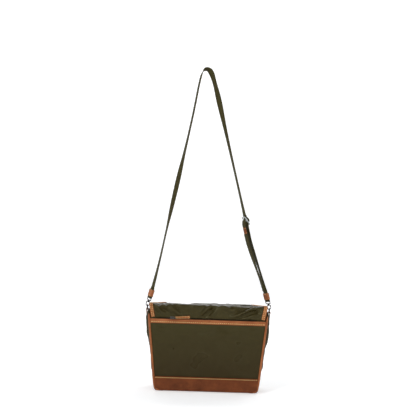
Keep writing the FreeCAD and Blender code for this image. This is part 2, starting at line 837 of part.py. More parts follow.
def build_gate(side, turned):
    """Sprung gate with rounded ends, and its hinge pin."""
    name = f"{side}_gate"
    long = "Dims.gate_pivot - Dims.gate_tip"
    rod = add("Part::Cylinder", f"{name}_rod", Radius="Dims.gate_r", Height=long)
    place(rod, "Dims.gate_x", "0", "Dims.gate_tip")
    pieces = [rod]
    for end, z in (("tip", "Dims.gate_tip"), ("root", "Dims.gate_pivot")):
        ball = add("Part::Sphere", f"{name}_{end}", Radius="Dims.gate_r")
        pieces.append(place(ball, "Dims.gate_x", "0", z))
    pin = add("Part::Cylinder", f"{name}_pin", Radius="Dims.gate_pin_r", Height="3.2")
    pieces.append(place(pin, "Dims.gate_x", "-1.6", "Dims.gate_pivot", ALONG_Y))
    gate = fuse(name, pieces)
    gate.Placement = hook_place()
    register(gate, name, turned)


def build_eye(side, turned):
    """Hook eye for the webbing, with the shank and head that swivel in the hook's collar."""
    name = f"{side}_hook_eye"
    pieces = []
    for bar, z in (("lower", "Dims.eye_low"), ("upper", "Dims.eye_high")):
        rod = add("Part::Cylinder", f"{name}_{bar}_bar", Radius="Dims.eye_wire", Height="2 * Dims.eye_half")
        pieces.append(place(rod, y="-Dims.eye_half", z=z, rotation=ALONG_Y))
    for end, y in (("near", "-Dims.eye_half"), ("far", "Dims.eye_half")):
        post = add(
            "Part::Cylinder",
            f"{name}_{end}_post",
            Radius="Dims.eye_wire",
            Height="Dims.eye_high - Dims.eye_low",
        )
        pieces.append(place(post, y=y, z="Dims.eye_low"))
        for level in ("low", "high"):
            ball = add("Part::Sphere", f"{name}_{end}_{level}_corner", Radius="Dims.eye_wire")
            pieces.append(place(ball, y=y, z=f"Dims.eye_{level}"))
    shank = add(
        "Part::Cylinder",
        f"{name}_shank",
        Radius="Dims.shank_r",
        Height="Dims.eye_low - Dims.head_low",
    )
    head = add("Part::Cylinder", f"{name}_head", Radius="Dims.head_r", Height="Dims.head_tall")
    pieces += [place(shank, z="Dims.head_low"), place(head, z="Dims.head_low")]
    eye = fuse(name, pieces)
    eye.Placement = hook_place(EYE_TWIST)
    register(eye, name, turned)


def build_keeper(side, turned):
    """Leather keeper round the two layers of webbing above the hook."""
    name = f"{side}_keeper"
    long = "Dims.keeper_high - Dims.keeper_low"
    sleeve = leather_sleeve(name, long, "Dims.keeper_thick")
    local = FreeCAD.Placement(V(0, 0, size("Dims.keeper_low")), FreeCAD.Rotation())
    sleeve.Placement = hook_place(EYE_TWIST).multiply(local)
    register(sleeve, name, turned)


def leather_sleeve(name, long, thick):
    """Rounded rectangular sleeve along +Z with a slot for two layers of webbing."""
    body = doc.addObject("PartDesign::Body", name)
    half_thick, half_wide = f"({thick}) / 2", "Dims.keeper_wide / 2"
    corners = mirrored([(half_thick, f"-({half_wide})"), (half_thick, half_wide)])
    outer = new_sketch(body, "XY_Plane", "0")
    draw_outline(outer, corners)
    pad(body, outer, long)
    round_corners(body, "XY_Plane", corners, "1.6")
    slot_x, slot_y = "Dims.slot_thick / 2", "Dims.slot_wide / 2"
    slot = new_sketch(body, "XY_Plane", "0")
    draw_outline(slot, mirrored([(slot_x, f"-({slot_y})"), (slot_x, slot_y)]))
    pocket(body, slot, long, toward_normal=True)
    return body


# Webbing


def route_wire(name, points):
    """Straight runs joined by tangent arcs, as large as the shorter run beside each corner allows."""
    knots = [V(x, 0, z) for x, z in points]
    edges, radii, start = [], [], knots[0]
    for before, corner, after in zip(knots, knots[1:], knots[2:]):
        into, out = corner - before, after - corner
        half = into.getAngle(out) / 2
        reach = 0.45 * min(into.Length, out.Length)
        radius = reach / math.tan(half)
        into.normalize()
        out.normalize()
        first, last = corner - into * reach, corner + out * reach
        inward = out - into
        inward.normalize()
        middle = corner + inward * (radius / math.cos(half) - radius)
        edges.append(Part.LineSegment(start, first).toShape())
        edges.append(Part.Arc(first, middle, last).toShape())
        radii.append(round(radius, 1))
        start = last
    edges.append(Part.LineSegment(start, knots[-1]).toShape())
    print(f"{name}: radii {radii}, length {sum(e.Length for e in edges):.1f}")
    return Part.Wire(edges)


def webbing(name, points, placement=None, turned=False):
    """Flat webbing with its width along Y, swept along a route in the XZ plane."""
    path = route_wire(name, points)
    along = V(points[1][0] - points[0][0], 0, points[1][1] - points[0][1])
    along.normalize()
    across = V(0, 1, 0).cross(along) * (size("Dims.web_thick") / 2)
    side = V(0, size("Dims.web_wide") / 2, 0)
    at = V(points[0][0], 0, points[0][1])
    corners = [at - across - side, at + across - side, at + across + side, at - across + side]
    section = Part.makePolygon([*corners, corners[0]])
    sweep = Part.BRepOffsetAPI.MakePipeShell(path)
    sweep.setBiNormalMode(V(0, 1, 0))
    sweep.add(section)
    sweep.build()
    sweep.makeSolid()
    solid = sweep.shape()
    expected = path.Length * size("Dims.web_wide * Dims.web_thick")
    if abs(solid.Volume / expected - 1) > 0.01:
        raise RuntimeError(f"{name}: volume {solid.Volume:.1f}, expected {expected:.1f}")
    piece = doc.addObject("Part::Feature", name)
    piece.Shape = solid
    if placement:
        piece.Placement = placement
    return register(piece, name, turned)


def build_hook_fold(side, turned):
    """Fold of webbing round the eye's upper bar, both layers inside the keeper."""
    top = size("Dims.keeper_high")
    layer = 0.85
    low = size("Dims.eye_high") - 2.0
    fold = [(layer, top), (layer, 22.5), (2.1, low), (-2.1, low), (-layer, 22.5), (-layer, top)]
    webbing(f"{side}_strap_fold", fold, hook_place(EYE_TWIST), turned)


def slide_axis():
    """Downward direction of the run that carries the slider, and its length above the slider."""
    top, low = LONG_RUN[-1], SLIDER_ON_WEBBING
    down = V(low[0] - top[0], 0, low[1] - top[1])
    above = down.Length
    return down.normalize(), above


def slider_place():
    """Frame of the strap's slider: local -Z runs down the webbing, local +X away from the bag's middle."""
    down, above = slide_axis()
    lean = math.degrees(math.atan2(-down.x, -down.z))
    at = V(SLIDER_ON_WEBBING[0], 0, SLIDER_ON_WEBBING[1])
    return FreeCAD.Placement(at, turn(V(0, 1, 0), lean).multiply(turn(V(0, 0, 1), FRAME_TWIST)))


def build_slide_run():
    """Straight webbing that the slider moves along."""
    down, above = slide_axis()
    run = add(
        "Part::Box",
        "strap_slide_run",
        Length="Dims.web_thick",
        Width="Dims.web_wide",
        Height=f"Dims.slide_tail + {above:.3f}",
    )
    corner = V(-size("Dims.web_thick") / 2, -size("Dims.web_wide") / 2, -size("Dims.slide_tail"))
    run.Placement = slider_place().multiply(FreeCAD.Placement(corner, FreeCAD.Rotation()))
    register(run, "strap_slide_run")


def build_strap_slider():
    """Bowed slider frame: two end bars, a middle bar and two curved rails that join them."""
    long, wide, wire = "Dims.frame_half_long", "Dims.frame_half_wide", "Dims.frame_wire"
    rise, sink = "Dims.frame_rise", "-Dims.frame_sink"
    bow = "(Dims.frame_rise + Dims.frame_sink)"
    radius = f"(({long})^2 + {bow}^2) / (2 * {bow})"
    half_angle = math.degrees(math.asin(size(long) / size(radius)))
    pieces = []
    for bar, x, z in (("upper", rise, long), ("middle", sink, "0"), ("lower", rise, f"-{long}")):
        rod = add("Part::Cylinder", f"slider_{bar}_bar", Radius=f"{wire} - 0.15", Height=f"2 * {wide}")
        pieces.append(place(rod, x, f"-{wide}", z, ALONG_Y))
    # the rail's arc opens towards +X, so it starts half its angle short of local -X
    toward_inside = FreeCAD.Rotation(V(-1, 0, 0), V(0, 0, 1), V(0, 1, 0), "XYZ")
    start = toward_inside.multiply(turn(V(0, 0, 1), -half_angle))
    for end, y in (("near", f"-{wide}"), ("far", wide)):
        rail = add("Part::Torus", f"slider_{end}_rail", Radius1=radius, Radius2=wire)
        rail.Angle3 = 2 * half_angle
        pieces.append(place(rail, f"{sink} + {radius}", y, "0", start))
        for level, z in (("upper", long), ("lower", f"-{long}")):
            ball = add("Part::Sphere", f"slider_{end}_{level}_corner", Radius=f"{wire} + 0.15")
            pieces.append(place(ball, rise, y, z))
    frame = fuse("adjuster_frame", pieces)
    frame.Placement = slider_place()
    register(frame, "adjuster_frame")


def build_slider_fold():
    """End of the webbing, folded round the slider's middle bar and held in a leather keeper."""
    drop, sink = size("Dims.fold_keeper_drop"), size("Dims.frame_sink")
    layer, wrap = 0.85, size("Dims.frame_wire") + 0.95
    low = V(-drop, -size("Dims.fold_keeper_start") + 2.5)
    bar = V(-sink, 0)
    up = bar - low
    up.normalize()
    out = V(up.y, -up.x)
    near, far = bar + (up + out) * wrap, bar + (up - out) * wrap
    end = -size("Dims.fold_keeper_start + Dims.fold_keeper_long") + 0.5
    around_bar = [
        (layer - drop, end),
        (layer - drop, -11.5),
        (near.x, near.y),
        (far.x, far.y),
        (-layer - drop, -8.5),
        (-layer - drop, end),
    ]
    webbing("adjuster_fold", around_bar, slider_place())
    sleeve = leather_sleeve("adjuster_keeper", "Dims.fold_keeper_long", "Dims.fold_keeper_thick")
    bottom = -size("Dims.fold_keeper_start + Dims.fold_keeper_long")
    local = FreeCAD.Placement(V(-drop, 0, bottom), FreeCAD.Rotation())
    sleeve.Placement = slider_place().multiply(local)
    register(sleeve, "adjuster_keeper")


def build_strap():
    webbing("strap_webbing", LONG_RUN)
    webbing("strap_lower_run", LOWER_RUN)
    webbing("strap_return", RETURN_RUN)


def check_and_export():
    """Stops on any failed object or bad shape, then writes one STEP file for each sub-part."""
    doc.recompute()
    failed = [o.Name for o in doc.Objects if "Invalid" in o.State or "Error" in o.State]
    shapes = {name: piece.Shape for name, piece in subparts.items()}
    bad = [name for name, s in shapes.items() if s.isNull() or not s.isValid() or not s.Solids]
    if failed or bad:
        raise RuntimeError(f"failed objects {failed}, bad shapes {bad}")
    os.makedirs("parts", exist_ok=True)
    for name, piece in subparts.items():
        piece.Shape.exportStep(f"parts/{name}.step")
        box = piece.Shape.BoundBox
        across = f"X {box.XMin:.1f} {box.XMax:.1f}, Y {box.YMin:.1f} {box.YMax:.1f}"
        print(f"{name}: {piece.Shape.Volume:.0f} mm3, {across}, Z {box.ZMin:.1f} {box.ZMax:.1f}")


build_base()
build_panels()
build_sides()
build_bands()
build_pipings()
build_lining()
build_pocket()
build_zip_slider()
build_zip_pull()
build_flap_back()
build_flap_top()
build_flap_front()
build_studs()
for side, turned in (("left", True), ("right", False)):
    build_ring_tab(side, turned)
    build_d_ring(side, turned)
    build_hook(side, turned)
    build_gate(side, turned)
    build_eye(side, turned)
    build_keeper(side, turned)
    build_hook_fold(side, turned)
build_slide_run()
build_strap_slider()
build_slider_fold()
build_strap()
check_and_export()
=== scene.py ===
"""Looks of the crossbody purse: wrinkled nylon, stitched leather, twisted webbing and small metal hardware.

Lengths in the tables are millimetres in the CAD frame, and MM turns them into metres.
"""
import math

import bpy
import numpy as np
from mathutils import Matrix, Vector, noise


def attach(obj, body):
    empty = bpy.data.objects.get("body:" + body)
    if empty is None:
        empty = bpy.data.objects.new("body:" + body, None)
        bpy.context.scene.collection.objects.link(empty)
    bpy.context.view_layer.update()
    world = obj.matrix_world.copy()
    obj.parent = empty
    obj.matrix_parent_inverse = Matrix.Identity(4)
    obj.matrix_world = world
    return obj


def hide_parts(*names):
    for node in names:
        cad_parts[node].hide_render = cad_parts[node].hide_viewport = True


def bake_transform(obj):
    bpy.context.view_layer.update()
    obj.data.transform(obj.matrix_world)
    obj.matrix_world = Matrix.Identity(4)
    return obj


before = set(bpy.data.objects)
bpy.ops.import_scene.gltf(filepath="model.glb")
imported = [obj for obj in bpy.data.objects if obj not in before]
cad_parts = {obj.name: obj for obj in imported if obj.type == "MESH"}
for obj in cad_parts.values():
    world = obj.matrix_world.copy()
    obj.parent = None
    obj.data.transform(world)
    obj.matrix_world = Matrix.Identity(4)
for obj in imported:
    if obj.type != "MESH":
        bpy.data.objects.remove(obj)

MM = 0.001
WEB_WIDE, WEB_THICK = 15, 1.5
GROUND_GAP = 0.0004  # metres that the paper lies below the base
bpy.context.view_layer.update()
SCENE = bpy.context.scene
PAPER_GLOW = (0.37, 0.52)  # near the bag and far from it


# Camera, floor and light


def add_camera():
    """Level camera behind the bag, rolled a little."""
    data = bpy.data.cameras.new("camera")
    data.lens = 85
    data.sensor_width = 36
    camera = bpy.data.objects.new("camera", data)
    SCENE.collection.objects.link(camera)
    roll = Matrix.Rotation(math.radians(1.8), 4, "Z")
    level = Matrix.Rotation(math.radians(90), 4, "X")
    camera.matrix_world = Matrix.Translation((-0.0082, -2.305, 0.4243)) @ level @ roll
    SCENE.camera = camera


def add_area(name, size, power, at, aim):
    data = bpy.data.lights.new(name, "AREA")
    data.shape = "RECTANGLE"
    data.size, data.size_y = size
    data.energy = power
    light = bpy.data.objects.new(name, data)
    SCENE.collection.objects.link(light)
    light.location = at
    light.rotation_euler = (Vector(aim) - Vector(at)).to_track_quat("-Z", "Y").to_euler()


def add_studio():
    """Pale round sweep of paper under soft boxes."""
    world = bpy.data.worlds.new("world")
    world.use_nodes = True
    world.node_tree.nodes["Background"].inputs["Color"].default_value = (0.9, 0.95, 1, 1)
    world.node_tree.nodes["Background"].inputs["Strength"].default_value = 0.25
    SCENE.world = world
    SCENE.view_settings.view_transform = "Standard"
    add_area("key_box", (0.6, 0.45), 17, (-0.9, -1.5, 1.75), (0, 0, 0.15))
    add_area("fill_box", (0.8, 1.2), 4, (1.5, -1.4, 0.9), (0, 0, 0.2))
    add_area("rim_box", (1.8, 0.5), 12, (0.1, 1.3, 1.7), (0, 0, 0.2))
    add_area("back_box", (1.0, 1.0), 7, (1.3, 1.5, 1.1), (0, 0, 0.15))
    profile = [(0.02, 0), (0.5, 0), (1.2, 0), (2.5, 0), (4.5, 0)]
    profile += [(5.5 + 1.5 * math.sin(a), 1.5 - 1.5 * math.cos(a)) for a in np.linspace(0, math.pi / 2, 9)]
    profile += [(7.0, 2.5), (7.0, 4.5)]
    sides = 96
    angles = [2 * math.pi * k / sides for k in range(sides)]
    verts = [(r * math.cos(a), r * math.sin(a), z - GROUND_GAP) for r, z in profile for a in angles]
    faces = [tuple(range(sides))]
    for j in range(len(profile) - 1):
        for k in range(sides):
            a, b = j * sides + k, j * sides + (k + 1) % sides
            faces.append((a, a + sides, b + sides, b))
    paper = make_object("paper", verts, faces, paper_material())


# Materials


class Nodes:
    """Short way to write a material's node tree."""

    def __init__(self, name):
        self.material = bpy.data.materials.new(name)
        self.material.use_nodes = True
        self.tree = self.material.node_tree
        self.shader = self.tree.nodes["Principled BSDF"]
        self.place = self.tree.nodes.new("ShaderNodeTexCoord").outputs["Object"]

    def add(self, kind, settings=None, **inputs):
        made = self.tree.nodes.new(kind)
        for key, value in (settings or {}).items():
            setattr(made, key, value)
        for key, value in inputs.items():
            self.put(made.inputs[key.replace("_", " ")], value)
        return made

    def put(self, socket, value):
        if isinstance(value, bpy.types.NodeSocket):
            self.tree.links.new(value, socket)
        else:
            socket.default_value = value

    def stretch(self, x, y, z):
        made = self.tree.nodes.new("ShaderNodeMapping")
        made.inputs["Scale"].default_value = (x, y, z)
        self.tree.links.new(self.place, made.inputs["Vector"])
        return made.outputs["Vector"]

    def noise(self, scale, detail=4.0, rough=0.55, vector=None):
        made = self.add("ShaderNodeTexNoise", Scale=scale, Detail=detail, Roughness=rough)
        self.tree.links.new(vector or self.place, made.inputs["Vector"])
        return made.outputs["Fac"]

    def wave(self, direction, scale, vector=None):
        made = self.add("ShaderNodeTexWave", {"bands_direction": direction}, Scale=scale)
        self.tree.links.new(vector or self.place, made.inputs["Vector"])
        return made.outputs["Fac"]

    def ramp(self, factor, stops):
        made = self.tree.nodes.new("ShaderNodeValToRGB")
        while len(made.color_ramp.elements) < len(stops):
            made.color_ramp.elements.new(0.5)
        for element, (at, color) in zip(made.color_ramp.elements, stops):
            element.position = at
            element.color = (*color, 1)
        self.tree.links.new(factor, made.inputs["Fac"])
        return made.outputs["Color"]

    def grey(self, factor, low, high, start=0.3, end=0.7):
        return self.ramp(factor, [(start, (low,) * 3), (end, (high,) * 3)])

    def mix(self, factor, a, b):
        made = self.add("ShaderNodeMix", {"data_type": "RGBA"})
        self.put(made.inputs[0], factor)
        for socket, value in ((made.inputs[6], a), (made.inputs[7], b)):
            self.put(socket, (*value, 1) if isinstance(value, tuple) else value)
        return made.outputs[2]

    def sum(self, a, b, kind="ADD"):
        made = self.add("ShaderNodeMath", {"operation": kind})
        self.put(made.inputs[0], a)
        self.put(made.inputs[1], b)
        return made.outputs[0]

    def bump(self, height, depth_mm, strength, below=None):
        made = self.add("ShaderNodeBump", Height=height, Distance=depth_mm * MM, Strength=strength)
        if below:
            self.tree.links.new(below, made.inputs["Normal"])
        return made.outputs["Normal"]

    def finish(self, color, roughness, normal=None, **more):
        self.put(self.shader.inputs["Base Color"], color if not isinstance(color, tuple) else (*color, 1))
        self.put(self.shader.inputs["Roughness"], roughness)
        if normal:
            self.put(self.shader.inputs["Normal"], normal)
        for key, value in more.items():
            self.put(self.shader.inputs[key.replace("_", " ")], value)
        return self.material


def paper_material():
    """Pale paper, glowing more the farther it is from the bag, so that it stays white all round."""
    n = Nodes("paper")
    color = n.grey(n.noise(1.5), 0.80, 0.83)
    far = n.add("ShaderNodeVectorMath", {"operation": "LENGTH"})
    n.tree.links.new(n.place, far.inputs[0])
    glow = n.add("ShaderNodeMapRange", From_Min=0.3, From_Max=3.0, To_Min=PAPER_GLOW[0], To_Max=PAPER_GLOW[1])
    n.tree.links.new(far.outputs["Value"], glow.inputs["Value"])
    return n.finish(color, 0.95, Emission_Color=(1, 1, 1, 1), Emission_Strength=glow.outputs["Result"])


def nylon_material(name, gloss, rough):
    """Satin nylon: fine diagonal twill, painted shade that runs darker and browner towards the foot, broad
    tone changes and small puckers.
    """
    n = Nodes(name)
    height = n.add("ShaderNodeSeparateXYZ")
    n.tree.links.new(n.place, height.inputs[0])
    # Painted shade: the nylon runs darker and browner towards the foot and lighter olive higher up.
    rise = n.add("ShaderNodeMapRange", From_Min=0.05, From_Max=0.15, To_Min=0.0, To_Max=0.75)
    n.tree.links.new(height.outputs["Z"], rise.inputs["Value"])
    tone = n.sum(rise.outputs["Result"], n.sum(n.noise(11, 3), 0.4, "MULTIPLY"))
    color = n.ramp(tone, [(0.15, (0.0208, 0.0112, 0.0018)), (0.95, (0.0292, 0.0212, 0.0050))])
    twill = n.bump(n.wave("DIAGONAL", 340.0), 0.05, 0.12)
    normal = n.bump(n.noise(32, 1, 0.4), 0.9, 0.3, twill)
    worn = n.grey(n.noise(16, 2), rough, rough + 0.08)
    return n.finish(color, worn, normal, Specular_IOR_Level=gloss, Specular_Tint=(0.9, 0.9, 0.6, 1))


def lining_material():
    n = Nodes("lining")
    color = n.ramp(n.noise(14), [(0.3, (0.13, 0.105, 0.065)), (0.7, (0.19, 0.16, 0.10))])
    weave = n.bump(n.wave("Z", 380.0), 0.05, 0.3)
    return n.finish(color, 0.55, n.bump(n.noise(60), 0.8, 0.5, weave))


def webbing_material():
    """Ribbed webbing: ribs across the width and a herringbone ground."""
    n = Nodes("webbing")
    uv = n.add("ShaderNodeUVMap", {"uv_map": "weave"}).outputs["UV"]
    cell = n.sum(n.wave("Y", 250.0, uv), n.wave("X", 190.0, uv), "MULTIPLY")
    color = n.mix(cell, (0.022, 0.0178, 0.0062), (0.088, 0.076, 0.029))
    color = n.mix(n.grey(n.noise(45), 0.0, 0.5), color, (0.046, 0.038, 0.015))
    relief = n.bump(cell, 0.18, 0.7)
    return n.finish(color, 0.62, relief, Specular_IOR_Level=0.1, Specular_Tint=(1, 0.95, 0.6, 1))


def leather_material(name, low, high, grain=900.0, mottle=28.0, rough=(0.42, 0.6)):
    """Pull-up leather: pebbled grain, cloudy tone, scuffs and a few fine creases."""
    n = Nodes(name)
    cloud = n.noise(mottle, 6, 0.65)
    fine = n.noise(mottle * 9, 4, 0.6)
    both = n.sum(n.sum(cloud, 0.7, "MULTIPLY"), n.sum(fine, 0.3, "MULTIPLY"))
    color = n.ramp(both, [(0.36, low), (0.64, high)])
    scuff = n.grey(n.noise(70, 8, 0.8, n.stretch(1, 1, 0.35)), 0, 0.5, 0.58, 0.72)
    color = n.mix(scuff, color, tuple(min(1.0, 1.45 * c) for c in high))
    cells = n.add("ShaderNodeTexVoronoi", {"feature": "DISTANCE_TO_EDGE"}, Scale=grain)
    n.tree.links.new(n.place, cells.inputs["Vector"])
    pebble = n.bump(n.grey(cells.outputs["Distance"], 0, 1, 0.0, 0.35), 0.14, 0.55)
    normal = n.bump(fine, 0.3, 0.35, pebble)
    rough = n.grey(cloud, *rough)
    return n.finish(color, rough, normal, Specular_IOR_Level=0.2, Specular_Tint=(1, 0.8, 0.6, 1))


def thread_material():
    n = Nodes("thread")
    color = n.ramp(n.noise(300, 2), [(0.3, (0.66, 0.42, 0.13)), (0.7, (0.88, 0.64, 0.27))])
    return n.finish(color, 0.5, n.bump(n.wave("DIAGONAL", 700.0), 0.08, 0.4))


def metal_material(name, color, rough, wear=0.12):
    n = Nodes(name)
    worn = tuple(min(1.0, c * (1 + wear * 4)) for c in color)
    tone = n.mix(n.grey(n.noise(220, 5), 0.0, 1.0), color, worn)
    shine = n.grey(n.noise(500, 4), rough, rough + wear)
    return n.finish(tone, shine, n.bump(n.noise(900, 2), 0.02, 0.3), Metallic=1.0)


def board_material():
    n = Nodes("board")
    color = n.ramp(n.noise(180, 6), [(0.3, (0.07, 0.055, 0.035)), (0.7, (0.12, 0.10, 0.06))])
    return n.finish(color, 0.85, n.bump(n.noise(600), 0.1, 0.4))


NYLON = nylon_material("nylon", 0.26, 0.26)
SIDE_NYLON = nylon_material("side_nylon", 0.05, 0.5)
LINING = lining_material()
WEBBING = webbing_material()
LEATHER = leather_material("leather", (0.200, 0.060, 0.021), (0.345, 0.120, 0.046))
# Darker leather of the foot bands and base, also used as painted shade on the slider's keeper.
BAND_AND_SHADED_KEEPER_LEATHER = leather_material(
    "band_leather", (0.079, 0.0195, 0.0062), (0.160, 0.044, 0.0150), grain=1300.0, mottle=42.0,
    rough=(0.6, 0.8),
)
THREAD = thread_material()
GUNMETAL = metal_material("gunmetal", (0.020, 0.018, 0.015), 0.38)
# Painted shade: the zip teeth are near black so that they read as the dark shadow line between the pocket
# strip and the flap.
SHADED_TEETH_METAL = metal_material("teeth_metal_painted_shade", (0.014, 0.013, 0.011), 0.5)
ZIP_METAL = metal_material("zip_metal", (0.055, 0.052, 0.046), 0.36)
SILVER = metal_material("silver", (0.36, 0.38, 0.38), 0.3, 0.05)
BOARD = board_material()


# Mesh helpers


def make_object(name, verts, faces, material, body=None, smooth=True, uv=None):
    """Piece from plain lists, riding on a body if one is named."""
    mesh = bpy.data.meshes.new(name)
    mesh.from_pydata([tuple(map(float, v)) for v in verts], [], faces)
    mesh.validate()
    if smooth:
        mesh.shade_smooth()
    if uv is not None:
        layer = mesh.uv_layers.new(name="weave")
        loops = np.zeros(len(mesh.loops), np.int32)
        mesh.loops.foreach_get("vertex_index", loops)
        layer.data.foreach_set("uv", np.asarray(uv, np.float32)[loops].ravel())
    mesh.materials.append(material)
    piece = bpy.data.objects.new(name, mesh)
    SCENE.collection.objects.link(piece)
    if body:
        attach(piece, body)
    return piece


def dress(piece, slot, *nodes):
    """Hides the CAD nodes that a piece stands for. The slot argument is not used."""
    if nodes:
        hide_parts(*nodes)
    return piece


def normals_of(points):
    """Unit normals of a grid of points."""
    across = np.gradient(points, axis=1)
    along = np.gradient(points, axis=0)
    normal = np.cross(across, along)
    return normal / np.maximum(np.linalg.norm(normal, axis=2, keepdims=True), 1e-12)


def shell(name, points, thick, material, body=None, rows=None):
    """Closed sheet: the grid is its outer face, and the inner face lies thick behind it."""
    inner = points - normals_of(points) * thick
    if rows:
        points, inner = points[rows[0]:rows[1]], inner[rows[0]:rows[1]]
    m, n = points.shape[:2]
    verts = np.concatenate([points.reshape(-1, 3), inner.reshape(-1, 3)])
    faces = []
    for j in range(m - 1):
        for i in range(n - 1):
            a = j * n + i
            faces.append((a, a + 1, a + n + 1, a + n))
            faces.append((m * n + a, m * n + a + n, m * n + a + n + 1, m * n + a + 1))
    border = [i for i in range(n)] + [j * n + n - 1 for j in range(1, m)]
    border += [(m - 1) * n + i for i in range(n - 2, -1, -1)] + [j * n for j in range(m - 2, 0, -1)]
    for a, b in zip(border, border[1:] + border[:1]):
        faces.append((b, a, m * n + a, m * n + b))
    return make_object(name, verts, faces, material, body)


def grid(nu, nv, place):
    """Array of points place(u, v), with u and v from 0 to 1."""
    rows = [[place(i / nu, j / nv) for i in range(nu + 1)] for j in range(nv + 1)]
    return np.array(rows, float)


def settle(points, loose, grow, frames=22, seed=0.0):
    """Settled grid of a cloth cut a little too large and held where loose is 0: it buckles into folds."""
    m, n = points.shape[:2]
    start = points + normals_of(points) * (noise_grid(points, 45, seed) * 1.6 * MM * loose)[..., None]
    verts = start.reshape(-1, 3)
    corners = [j * n + i for j in range(m - 1) for i in range(n - 1)]
    faces = [(a, a + 1, a + n + 1, a + n) for a in corners]
    cloth_piece = make_object("settling", verts, faces, NYLON)
    group = cloth_piece.vertex_groups.new(name="held")
    for index, share in enumerate(loose.reshape(-1)):
        group.add([index], float(1 - share), "REPLACE")
    cloth = cloth_piece.modifiers.new("cloth", "CLOTH")
    settings = cloth.settings
    settings.quality = 6
    settings.mass = 0.15
    settings.tension_stiffness = settings.compression_stiffness = 25
    settings.shear_stiffness = 8
    settings.bending_stiffness = 0.35
    settings.vertex_group_mass = "held"
    settings.shrink_min = -grow
    settings.effector_weights.gravity = 0
    cloth.collision_settings.use_collision = False
    cloth.point_cache.frame_end = frames
    for number in range(1, frames + 1):
        SCENE.frame_set(number)
    evaluated = cloth_piece.evaluated_get(bpy.context.evaluated_depsgraph_get())
    settled = np.array([v.co for v in evaluated.data.vertices], float).reshape(m, n, 3)
    SCENE.frame_set(1)
    bpy.data.objects.remove(cloth_piece)
    return settled


def noise_grid(points, scale, seed=0.0):
    """Smooth noise from -1 to 1 at each point of a grid."""
    m, n = points.shape[:2]
    shift = Vector((seed, seed * 1.7, -seed))
    values = [noise.noise(Vector(p) * scale + shift) for p in points.reshape(-1, 3)]
    return np.array(values).reshape(m, n)


def with_folds(points, flat, folds):
    """Grid raised along its normals by long soft folds with a shallow valley along both sides.

    flat holds each point's place on the cut cloth, and each fold is (start, end, width, height), all in
    millimetres.
    """
    lift = np.zeros(points.shape[:2])
    for start, end, wide, high in folds:
        start, run = np.array(start, float), np.array(end, float) - np.array(start, float)
        share = np.clip(np.sum((flat - start) * run, axis=2) / run.dot(run), 0, 1)
        away = np.linalg.norm(flat - start - share[..., None] * run, axis=2) / wide
        profile = np.exp(-away ** 2) - 0.4 * np.exp(-((away - 1.9) / 0.8) ** 2)
        lift += high * profile * (0.35 + 0.65 * np.sin(math.pi * share) ** 0.7)
    return points + normals_of(points) * lift[..., None] * MM


def creased(rest, flat, folds, share):
    """Grid with folds that fade towards its held borders, where share is 0."""
    return rest + (with_folds(rest, flat, folds) - rest) * share[..., None]


def evened(points, times):
    """Grid of points with its small kinks evened out and its border kept."""
    points = points.copy()
    for _ in range(times):
        around = (points[:-2, 1:-1] + points[2:, 1:-1] + points[1:-1, :-2] + points[1:-1, 2:]) / 4
        points[1:-1, 1:-1] = (points[1:-1, 1:-1] + around) / 2
    return points


def keep_within(points, rest, out, inward):
    """Limits how far a settled grid stands off its rest shape, along the rest shape's normals."""
    normal = normals_of(rest)
    moved = points - rest
    off = np.sum(moved * normal, axis=2)
    limited = np.where(off > 0, out * np.tanh(off / out), -inward * np.tanh(-off / inward))
    return rest + moved + normal * (limited - off)[..., None]


def unit(v):
    v = np.asarray(v, float)
    return v / np.maximum(np.linalg.norm(v, axis=-1, keepdims=True), 1e-12)


def lengths_along(line):
    """Length from the start of a line to each of its points."""
    return np.concatenate([[0], np.cumsum(np.linalg.norm(np.diff(line, axis=0), axis=1))])


def at_length(s, lengths, values):
    return np.stack([np.interp(s, lengths, values[:, k]) for k in range(3)], axis=-1)


def rounded_box(half_x, half_y, radius, steps=6):
    """Outline of a rectangle with round corners."""
    points = []
    for quarter, (sx, sy) in enumerate(((1, 1), (-1, 1), (-1, -1), (1, -1))):
        for k in range(steps + 1):
            angle = math.pi / 2 * (quarter + k / steps)
            x = sx * (half_x - radius) + radius * math.cos(angle)
            points.append((x, sy * (half_y - radius) + radius * math.sin(angle)))
    return points


def pipe_faces(rings, sides, base=0):
    """Faces of a pipe made of rings of points, with both its ends."""
    faces = []
    for j in range(rings - 1):
        for i in range(sides):
            a, b = base + j * sides + i, base + j * sides + (i + 1) % sides
            faces.append((a, b, b + sides, a + sides))
    last = base + (rings - 1) * sides
    return faces + [tuple(range(base + sides - 1, base - 1, -1)), tuple(range(last, last + sides))]


def smooth_line(controls, per_span):
    """Points on the NURBS curve that a list of control points in metres gives."""
    data = bpy.data.curves.new("route", "CURVE")
    data.dimensions = "3D"
    data.resolution_u = per_span
    spline = data.splines.new("NURBS")
    spline.points.add(len(controls) - 1)
    for point, at in zip(spline.points, controls):
        point.co = (*at, 1)
    spline.order_u = 3
    spline.use_endpoint_u = True
    holder = bpy.data.objects.new("route", data)
    SCENE.collection.objects.link(holder)
    mesh = bpy.data.meshes.new_from_object(holder)
    line = np.array([v.co for v in mesh.vertices], float)
    bpy.data.objects.remove(holder)
    return line


def ribbon(name, line, across, wide, thick, material, body=None):
    """Flat band along a line. across gives the direction of its width at each point."""
    line = np.asarray(line, float)
    tangent = unit(np.gradient(line, axis=0))
    width = unit(across - tangent * np.sum(across * tangent, axis=1, keepdims=True))
    normal = np.cross(tangent, width)
    hw, ht = wide / 2, thick / 2
    section = [(-hw + ht, -ht), (-hw / 3, -ht), (hw / 3, -ht), (hw - ht, -ht), (hw, 0.0)]
    section += [(hw - ht, ht), (hw / 3, ht), (-hw / 3, ht), (-hw + ht, ht), (-hw, 0.0)]
    verts, uv = [], []
    for at, w, n, s in zip(line, width, normal, lengths_along(line)):
        for a, b in section:
            verts.append(at + w * a + n * b)
            uv.append((a + (0.05 if b > 0 else 0.0), s))
    return make_object(name, verts, pipe_faces(len(line), len(section)), material, body, uv=uv)


